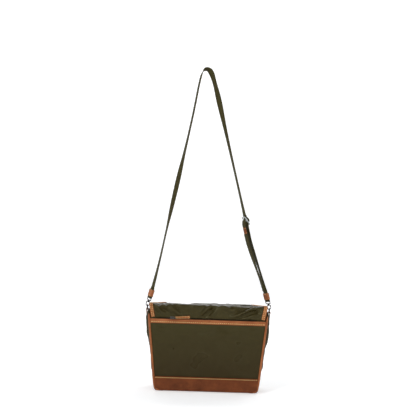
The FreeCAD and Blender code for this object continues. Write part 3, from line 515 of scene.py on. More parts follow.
def tube(name, line, radii, material, body=None, sides=14):
    """Round cord along a line, with a radius for each point."""
    line = np.asarray(line, float)
    tangent = unit(np.gradient(line, axis=0))
    side = unit(np.cross(tangent, (0.3, 0.7, 0.1)))
    other = np.cross(tangent, side)
    angles = [2 * math.pi * i / sides for i in range(sides)]
    verts = []
    for at, s, o, r in zip(line, side, other, radii):
        verts += [at + (s * math.cos(a) + o * math.sin(a)) * r for a in angles]
    return make_object(name, verts, pipe_faces(len(line), sides), material, body)


def stitches(name, rows, body=None, pitch=4.7, long=2.6, radius=0.5):
    """Rows of thread. Each row is (line, outward direction or directions), in metres."""
    verts, faces = [], []
    rings, sides = 5, 6
    for line, outward in rows:
        line = np.asarray(line, float)
        outward = np.broadcast_to(np.asarray(outward, float), line.shape)
        steps = lengths_along(line)
        count = max(1, int(steps[-1] / (pitch * MM)))
        for s in (np.arange(count) + 0.5) * steps[-1] / count:
            at = at_length(s, steps, line)
            out = unit(at_length(s, steps, outward))
            run = unit(at_length(s + 1e-3, steps, line) - at_length(s - 1e-3, steps, line))
            side = np.cross(run, out)
            faces += pipe_faces(rings, sides, len(verts))
            for angle in np.linspace(0, math.pi, rings):
                x, r = -math.cos(angle) * long / 2, max(0.0, math.sin(angle)) ** 0.6 * radius + 0.02
                for k in range(sides):
                    turn = 2 * math.pi * k / sides
                    verts.append(at + (run * x + side * r * math.cos(turn) + out * r * math.sin(turn)) * MM)
    return make_object(name, verts, faces, THREAD, body)


def joined(name, pieces, body):
    """Several pieces made into one."""
    verts, faces, start = [], [], 0
    material = pieces[0].data.materials[0]
    for piece in pieces:
        mesh = piece.data
        verts += [v.co.copy() for v in mesh.vertices]
        faces += [tuple(start + i for i in p.vertices) for p in mesh.polygons]
        start += len(mesh.vertices)
        bpy.data.objects.remove(piece)
    return make_object(name, verts, faces, material, body)


# The bag's side seams lean outwards


def seam(z):
    """Half width of the body at its seams, in millimetres."""
    return 118.1 + 0.1066 * z


def share_grid(nu, nv, border_u, border_v, soft):
    """1 inside a sheet and 0 in its held borders, with a soft change between."""
    def share(u, v):
        gap = min(u - border_u, 1 - u - border_u, v - border_v, 1 - v - border_v)
        return float(np.clip(gap / soft, 0, 1))
    return grid(nu, nv, share)


# Strap

LEFT_TO_RIGHT = [
    (-132.4, 231.6),
    (-119.6, 286.0),
    (-102.0, 380.0),
    (-79.6, 493.0),
    (-56.9, 605.0),
    (-45.5, 668.0),
    (-38.0, 716.0),
    (-30.0, 750.0),
    (-12.5, 750.0),
    (-1.0, 717.0),
    (8.8, 681.0),
    (27.0, 608.0),
    (85.4, 381.9),
    (92.6, 350.0),
    (109.5, 303.0),
    (124.3, 262.0),
    (133.2, 232.5),
]
RETURN_RUN = [
    (130.3, 0.0, 232.9),
    (118.9, -0.6, 262.0),
    (102.6, -1.8, 303.0),
    (88.0, -3.2, 342.0),
    (82.0, -4.2, 366.0),
]
# height in millimetres and turn of the webbing's width away from the depth direction, in degrees
LEFT_TURNS = [
    (231, 30), (259, 25), (268, 20), (306, 16), (343, 14), (362, 14), (380, 17), (399, 25), (418, 38),
    (436, 42), (465, 49), (502, 49), (521, 37), (539, 26), (558, 22), (577, 19), (596, 17), (735, 16),
    (745, 2), (750, -28),
]
RIGHT_TURNS = [
    (231, -30), (250, -17), (265, -13), (285, -14), (305, -21), (330, -28), (365, -30), (400, -30),
    (418, -20), (431, -16), (487, -14), (524, -14), (543, -17), (580, -22), (608, -28), (627, -36),
    (646, -46), (664, -56), (683, -56), (702, -44), (720, -38), (739, -54), (745, -58), (750, -34),
]
RETURN_TURNS = [(232, 30), (262, 14), (285, 14), (310, 22), (340, 28), (366, 30)]


WEB_TURN = 30  # degrees that the hooks and the slider turn away from the depth direction
FRAME_BACK, FOLD_BACK = 12, 20  # degrees that the slider's frame and the folded end turn back from it
FRAME_TILT = 24


def turned_widths(line, turns):
    """Direction of the webbing's width at each point, from turns in degrees."""
    tangent = unit(np.gradient(line, axis=0))
    depth = np.array((0.0, 1.0, 0.0))
    sideways = np.cross(tangent, depth)
    angle = np.radians(turns)[:, None]
    return depth * np.cos(angle) + sideways * np.sin(angle)


def table_value(z, table):
    heights, values = zip(*table)
    return np.interp(z, heights, values)


def build_strap():
    """The long webbing, and the return run up to the slider."""
    line = smooth_line([(x * MM, 0.0, z * MM) for x, z in LEFT_TO_RIGHT], 14)
    top = int(np.argmax(line[:, 2]))
    heights = line[:, 2] / MM
    turns = np.where(
        np.arange(len(line)) <= top, table_value(heights, LEFT_TURNS), table_value(heights, RIGHT_TURNS)
    )
    for _ in range(6):
        turns[1:-1] = (turns[:-2] + 2 * turns[1:-1] + turns[2:]) / 4
    wide, thick = WEB_WIDE * MM, WEB_THICK * MM
    webbing = ribbon("strap_webbing_run", line, turned_widths(line, turns), wide, thick, WEBBING, "strap")
    dress(webbing, "webbing", "strap_webbing", "strap_slide_run", "strap_lower_run")
    back = smooth_line([(x * MM, y * MM, z * MM) for x, y, z in RETURN_RUN], 14)
    back_turns = table_value(back[:, 2] / MM, RETURN_TURNS)
    return_run = ribbon("strap_return_run", back, turned_widths(back, back_turns), wide, thick, WEBBING)
    dress(return_run, "webbing", "strap_return")
    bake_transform(return_run)
    for piece, path in ((webbing, line), (return_run, back)):
        round(float(lengths_along(path)[-1]), 3)


def hook_matrix(side):
    """Frame of a hook: +Z along it towards the strap, +Y across the webbing."""
    right = (
        Matrix.Translation((143 * MM, 0, 193.5 * MM))
        @ Matrix.Rotation(math.radians(-15.5), 4, "Y")
        @ Matrix.Rotation(math.radians(WEB_TURN), 4, "Z")
    )
    return right if side == "right" else Matrix.Rotation(math.pi, 4, "Z") @ right


def slider_matrix():
    """Frame of the strap's slider: +Z up the webbing, +X outwards, +Y across the webbing."""
    lean = math.atan2(-54.5, 211.0)
    return (
        Matrix.Translation((81.5 * MM, 0, 397 * MM))
        @ Matrix.Rotation(lean, 4, "Y")
        @ Matrix.Rotation(math.radians(WEB_TURN), 4, "Z")
    )


def local_ribbon(name, matrix, controls, wide, thick, material, body):
    """Band whose route lies in the XZ plane of a local frame, in millimetres."""
    line = smooth_line([(x * MM, 0, z * MM) for x, z in controls], 8)
    line = np.array([matrix @ Vector(p) for p in line])
    across = np.tile(np.array(matrix.to_3x3() @ Vector((0, 1, 0))), (len(line), 1))
    return ribbon(name, line, across, wide * MM, thick * MM, material, body)


def mirrored_route(half):
    """Route down one layer and up the other, from (x, z) pairs of the first."""
    return half + [(-x, z) for x, z in reversed(half)]


def build_hook_pieces(side):
    """Webbing folded round the eye, with both layers running up through the keeper."""
    matrix = hook_matrix(side)
    route = mirrored_route([(0.9, 41.2), (0.9, 30), (0.9, 23.5), (1.95, 19.5), (1.95, 16.1)])
    fold = local_ribbon(f"{side}_webbing_fold", matrix, route, WEB_WIDE, WEB_THICK, WEBBING, "strap")
    dress(fold, "webbing", f"{side}_strap_fold")
    sleeve = build_sleeve(f"{side}_keeper_sleeve", matrix, 20.6, 36.6, 18, 7, "strap")
    dress(sleeve, "leather_trim", f"{side}_keeper")


def build_sleeve(name, matrix, low, high, wide, thick, body):
    """Leather sleeve with rounded corners, pinched a little at its middle, and two rows of thread."""
    outer, inner = [], []
    for t in np.linspace(0, 1, 11):
        z = low + (high - low) * t
        end = 0.5 * (math.exp(-t * 30) + math.exp(-(1 - t) * 30))
        pinch = 0.35 * math.sin(math.pi * t)
        outline_there = rounded_box(thick / 2 - pinch - end, wide / 2 - 0.5 * pinch - end, 1.6)
        outer.append([(x, y, z) for x, y in outline_there])
        inner.insert(0, [(x, y, z) for x, y in rounded_box(1.75, 7.85, 0.5)])
    rings = outer + inner
    count = len(rings[0])
    verts = [matrix @ (Vector(p) * MM) for ring in rings for p in ring]
    faces = []
    for j in range(len(rings)):
        a, b = j * count, (j + 1) % len(rings) * count
        faces += [(a + i, a + (i + 1) % count, b + (i + 1) % count, b + i) for i in range(count)]
    sleeve = make_object(name, verts, faces, LEATHER, body)
    def row(points, out):
        return [matrix @ (Vector(p) * MM) for p in points], matrix.to_3x3() @ Vector(out)
    rows = []
    for face in (1, -1):
        x, y = face * (thick / 2 - 0.1), face * (wide / 2 - 0.1)
        for z in (low + 2.3, high - 2.3):
            rows.append(row([(x, -7.2, z), (x, 0, z), (x, 7.2, z)], (face, 0, 0)))
            rows.append(row([(1.2 - thick / 2, y, z), (thick / 2 - 1.2, y, z)], (0, face, 0)))
    stitches(f"{name}_thread", rows, body, pitch=2.9, long=2.0, radius=0.42)
    return sleeve


def build_slider_pieces():
    """Slider on the webbing, the hump over its middle bar, the folded end and the keeper round that end."""
    matrix = slider_matrix()
    build_slider_frame(matrix @ Matrix.Rotation(math.radians(-FRAME_BACK), 4, "Z"))
    hump = [(0.35, -13), (0.35, -9.5), (1.4, -7.5), (4.6, -4), (6.0, 0)]
    hump += [(x, -z) for x, z in reversed(hump[:-1])]
    dress(local_ribbon("slider_hump", matrix, hump, 14.6, 1.3, WEBBING, "adjuster"), "webbing")
    route = [
        (-8.85, -29.5), (-8.85, -18), (-8.85, -12.5), (-6.4, -3.0), (-4.2, 3.0), (-0.9, 1.6), (-3.0, -3.0),
        (-7.65, -9.5), (-7.65, -18), (-7.65, -29.5),
    ]
    line = smooth_line([(x * MM, 0, z * MM) for x, z in route], 8)
    turn = np.radians(np.interp(line[:, 2] / MM, [-18, -6], [-FOLD_BACK, 0]))
    across = np.array([matrix.to_3x3() @ Vector((-math.sin(t), math.cos(t), 0)) for t in turn])
    line = np.array([matrix @ Vector(p) for p in line])
    fold = ribbon("slider_fold", line, across, WEB_WIDE * MM, 1.3 * MM, WEBBING, "adjuster")
    dress(fold, "webbing", "adjuster_fold")
    beside = matrix @ Matrix.Translation((-8.3 * MM, 0, 0))
    turned = beside @ Matrix.Rotation(math.radians(-FOLD_BACK), 4, "Z")
    sleeve = build_sleeve("slider_keeper_sleeve", turned, -30, -14, 17, 5, "adjuster")
    # Painted shade: the slider's keeper takes the darker band leather so that it looks shaded.
    sleeve.data.materials[0] = BAND_AND_SHADED_KEEPER_LEATHER
    dress(sleeve, "leather_trim", "adjuster_keeper")


def build_slider_frame(matrix):
    """Oval wire slider, tilted so that its upper end lies inside the webbing and its lower end outside."""
    tilted = matrix @ Matrix.Rotation(math.radians(-FRAME_TILT), 4, "Y")
    loop = rounded_box(9.8, 10.6, 3.6, 8)
    rim = [tilted @ (Vector((0, y, z)) * MM) for y, z in loop + loop[:1]]
    bar = [(0, -9.6, 0), (-2.0, -9.2, 0), (-3.4, -8.0, 0), (-3.4, 8.0, 0), (-2.0, 9.2, 0), (0, 9.6, 0)]
    bar = [matrix @ (Vector(p) * MM) for p in smooth_line(bar, 5)]
    parts = [
        tube(name, line, [radius * MM] * len(line), SILVER, sides=12)
        for name, line, radius in (("slider_rim", rim, 1.35), ("slider_bar", bar, 0.85))
    ]
    dress(joined("slider_frame", parts, "adjuster"), "slider_metal", "adjuster_frame")


# Body of the bag


def wall_points(y, low, high, inset, nu, nv, bulge=0.0, foot=0.0, sign=-1):
    """Upright wall at depth y between the seams."""
    def place(u, v):
        z = low + (high - low) * v
        half = seam(z) - inset
        swell = bulge * math.sin(math.pi * u) ** 0.8 * math.sin(math.pi * min(1, v * 1.02 + 0.02)) ** 0.8
        tuck = foot * math.exp(-(v * (high - low) / 5.0))
        return (-half * (2 * u - 1) * MM, sign * (y + swell - tuck) * MM, z * MM)
    return oriented(grid(nu, nv, place), (0, sign, 0))


def oriented(points, outward):
    """Grid turned over, if need be, so that its normals point outwards."""
    normal = normals_of(points)
    middle = normal[normal.shape[0] // 2, normal.shape[1] // 2]
    return points if np.dot(middle, outward) > 0 else points[:, ::-1]


WALL_TOP = 190
# each fold is (start, end, width, height), with places as (across, height)
POCKET_FOLDS = [
    ((-128, 147), (-92, 138), 5, 4),
    ((-90, 139), (-40, 131), 7, 2.7),
    ((-124, 131), (-86, 127), 5, 2.2),
    ((-70, 146), (50, 147), 5, 1.9),
    ((-30, 132), (70, 134), 8, 2.7),
    ((84, 138), (130, 149), 4, 4),
    ((92, 130), (131, 139), 4, 3),
    ((60, 122), (125, 118), 7, 1.6),
    ((-118, 118), (-70, 104), 8, 1.3),
    ((20, 110), (90, 96), 9, 1.1),
]


def build_rear_pocket():
    """Pocket panel: nylon a little too large for its frame, with soft folds from its upper corners."""
    nu, nv = 92, 56
    rest = wall_points(43.4, 30, 160.5, 2.4, nu, nv, bulge=1.6, foot=1.4)
    loose = share_grid(nu, nv, 0.012, 0.015, 0.05)
    made = settle(creased(rest, rest[..., [0, 2]] / MM, POCKET_FOLDS, loose), loose, 0.010, seed=3.1)
    made = evened(keep_within(made, rest, 3.4, 1.0), 8)
    dress(shell("pocket_panel_cloth", made, 0.9 * MM, NYLON, "bag"), "nylon", "rear_pocket_panel")


def build_walls():
    """Rear wall behind the pocket and front wall under the flap."""
    rear = wall_points(41.0, 2.5, WALL_TOP, 2.7, 60, 40)
    nu, nv = 80, 56
    rest = wall_points(41.2, 28, WALL_TOP, 2.6, nu, nv, bulge=0.8, sign=1)
    loose = share_grid(nu, nv, 0.015, 0.02, 0.06)
    front = keep_within(settle(rest, loose, 0.01, seed=9.4), rest, 1.4, 2.0)
    for name, points in (("rear", rear), ("front", front)):
        dress(shell(f"{name}_wall_cloth", points, 1.2 * MM, NYLON, "bag"), "nylon", f"{name}_panel")
    half = (seam(WALL_TOP) - 3) * MM
    for name, depth, height in (("rear", -40.2, 188.6), ("front", 39.7, 186.4)):
        line = [(half * (2 * t - 1), depth * MM, height * MM) for t in np.linspace(0, 1, 60)]
        dress(tube(f"{name}_wall_hem", line, [1.2 * MM] * 60, NYLON, "bag", 10), "nylon")


GUSSET_BULGE = [(0, 1.8), (34, 2.2), (60, 3.9), (100, 6.2), (150, 7.6), (168, 7.4), (176, 5.4), (182, 2.0)]


def gusset_bulge(z):
    """How far the gusset stands out at the middle of its depth."""
    return float(np.interp(z, *zip(*GUSSET_BULGE)))


def gusset_points(sign, low, high, nu, nv):
    half_y = 40.6
    def place(u, v):
        z = low + (high - low) * v
        y = half_y * (2 * u - 1)
        x = seam(z) + 0.3 + gusset_bulge(z) * (1 - (y / half_y) ** 2)
        return (sign * x * MM, y * MM, z * MM)
    return oriented(grid(nu, nv, place), (sign, 0, 0))


# places are (depth, height)
GUSSET_FOLDS = [
    ((-2, 176), (-1, 70), 6.0, -2.2),
    ((-27, 172), (-9, 128), 4.5, 1.6),
    ((26, 168), (8, 120), 4.5, 1.6),
    ((-30, 110), (-12, 80), 5.0, 1.0),
    ((30, 104), (10, 72), 5.0, 1.0),
    ((-26, 60), (20, 44), 6.0, 0.8),
    ((-34, 150), (-20, 160), 3.5, 1.0),
]


def build_gussets():
    """Soft side walls, with a turned hem at the top."""
    for side, sign in (("left", -1), ("right", 1)):
        nu, nv = 32, 64
        rest = gusset_points(sign, 28, 182, nu, nv)
        loose = share_grid(nu, nv, 0.02, 0.015, 0.1)
        folded = creased(rest, rest[..., [1, 2]] * (sign, 1) / MM, GUSSET_FOLDS, loose)
        made = keep_within(settle(folded, loose, 0.022, seed=5.0 + sign), rest, 1.6, 3.5)
        cloth = shell(f"{side}_gusset_cloth", made, 1.1 * MM, SIDE_NYLON, "bag")
        dress(cloth, "nylon", f"{side}_gusset")
        radii = [1.4 * MM] * len(made[-1])
        dress(tube(f"{side}_gusset_hem", made[-1], radii, SIDE_NYLON, "bag", 10), "nylon")


BAND_PROFILE = [
    (34.2, 1.2), (34.4, 0.5), (33.9, 0.0), (31.5, 0.0), (27, -0.1), (20, -0.3), (14, -0.3), (9, 0.1),
    (5.6, 0.7), (3.0, 1.8), (1.2, 3.8), (0.4, 6.5), (0.2, 9.5), (0.2, 13),
]  # height, and how far the band stands in from its upright face
BAND_THREAD_Z = 31.4


def corner_inset(z):
    """How far the foot's rounded lower corners stand in."""
    radius = 8.0
    low = np.clip(radius - z, 0, radius - 0.15)
    return float(radius - math.sqrt(radius ** 2 - low ** 2))


def build_bands():
    """Leather bands round the foot, turned under a recessed base, with a row of thread below the top edge."""
    last, half_deep = len(BAND_PROFILE) - 1, 41.4
    for name, sign, face in (("rear", -1, 45.4), ("front", 1, 43.0)):
        def place(u, v):
            z, inset = BAND_PROFILE[int(round(v * last))]
            half = seam(z) - 1.2 - corner_inset(z)
            return ((2 * u - 1) * half * MM, sign * (face - inset) * MM, z * MM)
        half, depth = (seam(31) - 3.5) * MM, sign * (face + 0.25) * MM
        line = [((2 * t - 1) * half, depth, BAND_THREAD_Z * MM) for t in np.linspace(0, 1, 30)]
        finish_band(name, oriented(grid(70, last, place), (0, sign, 0)), line, (0, sign, 0))
    for name, sign in (("left", -1), ("right", 1)):
        def place(u, v):
            z, inset = BAND_PROFILE[int(round(v * last))]
            y = half_deep * (2 * u - 1)
            bulge = (gusset_bulge(z) + 0.2) * (1 - (y / half_deep) ** 2)
            x = seam(z) + 2.0 + bulge - max(inset, corner_inset(z))
            if z < 1:
                x -= inset - 3.8
            return (sign * x * MM, y * MM, z * MM)
        line = []
        for t in np.linspace(-0.9, 0.9, 24):
            x = seam(BAND_THREAD_Z) + 2.25 + (gusset_bulge(BAND_THREAD_Z) + 0.2) * (1 - t * t)
            line.append((sign * x * MM, half_deep * t * MM, BAND_THREAD_Z * MM))
        finish_band(name, oriented(grid(30, last, place), (sign, 0, 0)), line, (sign, 0, 0))
    under = grid(60, 24, lambda u, v: ((2 * u - 1) * 0.1135, -0.0425 + 0.083 * v, 0.0014))
    under = oriented(under, (0, 0, -1))
    under[..., 2] += noise_grid(under, 30, 2.0) * 0.25 * MM
    dress(shell("base_leather", under, 1.0 * MM, BAND_AND_SHADED_KEEPER_LEATHER, "bag"), "leather_trim", "base_panel")


def finish_band(name, points, line, out):
    """One side of the foot band, and its thread."""
    band = shell(f"{name}_band_leather", points, 1.3 * MM, BAND_AND_SHADED_KEEPER_LEATHER, "bag")
    band.modifiers.new("smooth", "SUBSURF").levels = 1
    dress(band, "leather_trim", f"{name}_base_band")
    stitches(f"{name}_band_thread", [(line, out)], "bag", radius=0.8)


# height, distance in from the seam, and radius
PIPING = [
    (178.5, 0.4, 0.5), (176, 0.2, 1.5), (172, 0, 2.2), (166, 0, 2.55), (150, 0, 2.7), (125, 0, 2.7),
    (100, 0, 2.65), (75, 0, 2.7), (50, 0, 2.75), (30, 0, 2.75), (18, 0.1, 2.75), (11, 0.9, 2.7),
    (6.6, 2.9, 2.6), (4.0, 6.2, 2.4), (3.2, 10.5, 1.9),
]


def build_pipings():
    """Corner pipings: a leather cord from a tapered tip down and round under the foot."""
    heights, insets, radii = zip(*PIPING)
    for fore, front in (("rear", -1), ("front", 1)):
        for side, sign in (("left", -1), ("right", 1)):
            y = front * 42.2 * MM
            line = smooth_line([(sign * (seam(z) - i) * MM, y, z * MM) for z, i in zip(heights, insets)], 5)
            wide = np.interp(np.linspace(0, len(radii) - 1, len(line)), range(len(radii)), radii)
            wobble = [1 + 0.035 * noise.noise(Vector(p) * 60) for p in line]
            cord = tube(f"{fore}_{side}_piping_leather", line, wide * wobble * MM, LEATHER, "bag")
            dress(cord, "leather_trim", f"{fore}_{side}_piping")


# height, and how far the lining stands in from its straight side
LINING_LEVELS = [
    (5.2, 9.0), (5.0, 4.0), (6.0, 1.2), (9, 0.2), (25, 0), (60, 0.3), (100, 0.6), (140, 0.4), (170, 0),
    (186, -0.4),
]


def build_lining():
    """Lining: one open tub with soft creases and a turned top edge."""
    rings = []
    for z, inset in LINING_LEVELS:
        corner = max(2.0, 7 - inset * 0.5)
        ring = [(x, y, z) for x, y in rounded_box(seam(z) - 4.4 - inset, 37.4 - inset, corner)]
        closed = np.array(ring + ring[:1], float)
        lengths = lengths_along(closed)
        rings.append(at_length(np.linspace(0, lengths[-1], 96, endpoint=False), lengths, closed))
    fine = []
    for a, b in zip(rings, rings[1:]):
        steps = 1 if abs(a[0][2] - b[0][2]) < 8 else 5
        fine += [a + (b - a) * s / steps for s in range(steps)]
    fine = np.array(fine + rings[-1:])
    inward = unit(fine * (0, 0, 1) - fine)
    ripple = np.array([
        [noise.noise(Vector(p) * 0.03) + 0.5 * noise.noise(Vector(p) * 0.08) for p in row] for row in fine
    ])
    fade = np.clip((fine[..., 2] - 8) / 30, 0, 1) * np.clip((WALL_TOP - fine[..., 2]) / 25, 0.15, 1)
    inner = fine + inward * (0.7 + np.maximum(ripple + 0.3, 0) * 2.2 * fade)[..., None]
    m, n = fine.shape[:2]
    verts = np.concatenate([fine.reshape(-1, 3), inner.reshape(-1, 3)]) * MM
    faces = []
    for j in range(m - 1):
        for i in range(n):
            a, b = j * n + i, j * n + (i + 1) % n
            faces.append((a, a + n, b + n, b))
            faces.append((m * n + a, m * n + b, m * n + b + n, m * n + a + n))
    for i in range(n):
        k = (i + 1) % n
        faces.append(((m - 1) * n + i, (2 * m - 1) * n + i, (2 * m - 1) * n + k, (m - 1) * n + k))
    faces += [tuple(range(n)), tuple(range(m * n + n - 1, m * n - 1, -1))]
    dress(make_object("lining_cloth", verts, faces, LINING, "bag"), "lining", "lining")


def strip_piece(name, low, high, y, thick, material, body, nu=60, nv=4, crown=0.35):
    """Strip in an upright plane, between a lower and an upper line of (x, z) ends, softly crowned."""
    low, high = np.array(low, float), np.array(high, float)
    def place(u, v):
        start = low[0] + (low[1] - low[0]) * u
        x, z = start + (high[0] + (high[1] - high[0]) * u - start) * v
        return (x * MM, -(y + crown * (1 - (2 * v - 1) ** 4)) * MM, z * MM)
    return shell(name, oriented(grid(nu, nv, place), (0, -1, 0)), thick * MM, material, body)


def build_pocket_trim():
    """Strip along the pocket's mouth with its thread, the zip behind it, and the pull's tab."""
    half = seam(162) - 2.2
    strip = strip_piece(
        "pocket_strip_leather", [(-half, 156.5), (half, 156.5)], [(-half, 166.5), (half, 166.5)],
        45.2, 1.4, LEATHER, "bag", nv=8,
    )
    dress(strip, "leather_trim", "pocket_strip")
    line = [((2 * t - 1) * (half - 2) * MM, -45.75 * MM, 159.6 * MM) for t in np.linspace(0, 1, 30)]
    stitches("pocket_strip_thread", [(line, (0, -1, 0))], "bag", radius=0.8)
    tape = strip_piece(
        "zip_tape_cloth", [(-120, 158.5), (120, 158.5)], [(-120, 168.9), (120, 168.9)],
        43.1, 0.6, WEBBING, "bag", crown=0.05,
    )
    dress(tape, "webbing", "zip_tape")
    build_zip_teeth()
    tab = strip_piece(
        "pull_tab_leather", [(-76.0, 168.2), (-41.8, 168.9)], [(-76.0, 172.4), (-41.8, 175.2)],
        47.2, 1.3, LEATHER, "zip_pull", nu=20, nv=6, crown=0.5,
    )
    dress(tab, "leather_trim", "pull_tab")
    seams = [((-75, 171.5), (-43, 174.0)), ((-75, 169.1), (-43, 169.9)), ((-43.2, 170.2), (-43.2, 173.8))]
    rows = [([(x * MM, -47.9 * MM, z * MM) for x, z in ends], (0, -1, 0)) for ends in seams]
    stitches("pull_tab_thread", rows, "zip_pull", pitch=3.4, long=2.4, radius=0.42)


def build_zip_teeth():
    """Two rows of teeth, each row half a pitch from the other."""
    pitch, half = 1.6, 0.45
    verts, faces = [], []
    for i in range(140):
        centre = -112 + pitch * (i + 0.5)
        for low, high, shift in ((167.0, 168.0, 0.0), (167.8, 168.8, pitch / 2)):
            base, left, right = len(verts), centre + shift - half, centre + shift + half
            outline_there = ((left, low), (right, low), (right, high), (left, high))
            verts += [(x * MM, y * MM, z * MM) for y in (-44.15, -43.2) for x, z in outline_there]
            for face in ((0, 1, 2, 3), (7, 6, 5, 4), (0, 4, 5, 1), (1, 5, 6, 2), (2, 6, 7, 3), (3, 7, 4, 0)):
                faces.append(tuple(base + k for k in face))
    # Painted shade: near-black teeth stand in for the shadow line above the strip.
    teeth = make_object("zip_teeth_row", verts, faces, SHADED_TEETH_METAL, "bag", smooth=False)
    dress(teeth, "zip_metal", "zip_teeth")


# Flap: one sheet from the rear seam, over the top and down the front

REAR_Y, FRONT_Y, TOP_Z, BEND = 42.9, 46.4, 200.6, 5.5
SLOPE = 5.0  # how much lower the front fold lies
FLAP_CORNER = 24.0
BINDING_WIDE, BINDING_LIFT, OVERHANG = 8.5, 1.1, 0.7
SEAM_Z, HANG_Z = 169.2, 80.0
S_REAR = TOP_Z - BEND - SEAM_Z
S_FOLD = S_REAR + BEND * math.pi / 2
S_TOP = S_FOLD + REAR_Y + FRONT_Y - 2 * BEND
S_FRONT = S_TOP + BEND * math.pi / 2
S_END = S_FRONT + TOP_Z - BEND - HANG_Z
FLAP_WIDTHS = [
    (0, 130.2), (S_REAR, 135.4), (S_FOLD, 136.0), (S_FOLD + 16, 133.6), (S_FOLD + 26, 129.0),
    (S_FOLD + 34, 124.8), (S_FOLD + 50, 119.0), (S_TOP, 108.2), (S_FRONT, 106.8), (S_END, 102.2),
]


# places are (across, along from the rear seam)
FLAP_FOLDS = [
    ((-128, 24), (-113, 5), 3.2, 4.93),
    ((-119, 29), (-102, 8), 3, 4.93),
    ((-99, 21), (-93, 23), 4.5, -4.42),
    ((-106, 31), (-82, 14), 3.4, 6.46),
    ((-88, 31), (-67, 7), 3.2, 5.44),
    ((-74, 30), (-58, 10), 3.2, -3.23),
    ((-50, 27), (-30, 9), 5, -2.72),
    ((-46, 8), (-30, 30), 4, 2.38),
    ((-22, 5), (5, 31), 3.6, 6.97),
    ((-9, 3), (15, 27), 3.4, -4.25),
    ((4, 3), (24, 25), 3.2, 3.23),
    ((30, 30), (58, 20), 4, 3.74),
    ((54, 6), (107, 28), 3.6, 6.46),
    ((62, 2), (116, 22), 3, -3.4),
    ((84, 3), (125, 15), 2.8, 3.74),
    ((114, 30), (124, 9), 2.8, 4.25),
    ((-126, 39), (-64, 43), 3.2, 0.9),
    ((-72, 46), (-10, 41), 3.2, 0.9),
    ((-4, 42), (60, 47), 3.2, 0.9),
    ((50, 39), (124, 43), 3, 0.9),
    ((-100, 58), (-20, 70), 6, 1.6),
    ((10, 74), (90, 58), 6, 1.6),
    ((-60, 92), (40, 86), 6, 1.4),
    ((-70, 150), (60, 142), 9, 0.8),
    ((-60, 185), (70, 192), 10, 0.7),
]


def flap_point(x, s, lift=0.0):
    """Point of the flap at x across and s along it from the rear seam, lifted off its face."""
    if s < S_REAR:
        y, z, out = -REAR_Y, SEAM_Z + s, (0, -1, 0)
    elif s < S_FOLD:
        a = (s - S_REAR) / BEND
        y, z = -REAR_Y + BEND - BEND * math.cos(a), TOP_Z - BEND + BEND * math.sin(a)
        out = (0, -math.cos(a), math.sin(a))
    elif s < S_TOP:
        y, z, out = -REAR_Y + BEND + (s - S_FOLD), TOP_Z, (0, 0, 1)
    elif s < S_FRONT:
        a = (s - S_TOP) / BEND
        y, z = FRONT_Y - BEND + BEND * math.sin(a), TOP_Z - BEND + BEND * math.cos(a)
        out = (0, math.sin(a), math.cos(a))
    else:
        y, z, out = FRONT_Y, TOP_Z - BEND - (s - S_FRONT), (0, 1, 0)
    t = (s - S_FOLD) / (S_TOP - S_FOLD)
    z -= SLOPE * min(max(t, 0.0), 1.0)
    sag = -1.5 * math.sin(math.pi * t) * math.cos(x / 136 * math.pi / 2) if 0 < t < 1 else 0.0
    return Vector((x, y + out[1] * lift, z + out[2] * (lift + sag))) * MM


def flap_half(s):
    """Half width of the flap, with its two lower front corners rounded."""
    lengths, widths = zip(*FLAP_WIDTHS)
    half = float(np.interp(s, lengths, widths))
    left = S_END - s
    if left < FLAP_CORNER:
        half -= FLAP_CORNER - math.sqrt(max(0.0, FLAP_CORNER ** 2 - (FLAP_CORNER - left) ** 2))
    return half


def flap_rows():
    """Positions along the flap, closer together round the two folds and at the rounded end."""
    rows = list(np.linspace(0, S_REAR, 13)[:-1]) + list(np.linspace(S_REAR, S_FOLD, 7)[:-1])
    rows += list(np.linspace(S_FOLD, S_TOP, 31)[:-1]) + list(np.linspace(S_TOP, S_FRONT, 7)[:-1])
    rows += list(np.linspace(S_FRONT, S_END - FLAP_CORNER, 34)[:-1])
    rows += [S_END - FLAP_CORNER * (1 - math.sin(a)) for a in np.linspace(0, math.pi / 2, 13)[:-1]]
    return rows + [S_END - 0.02]


def bend_rear(piece):
    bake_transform(piece)


def bend_front(piece):
    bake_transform(piece)


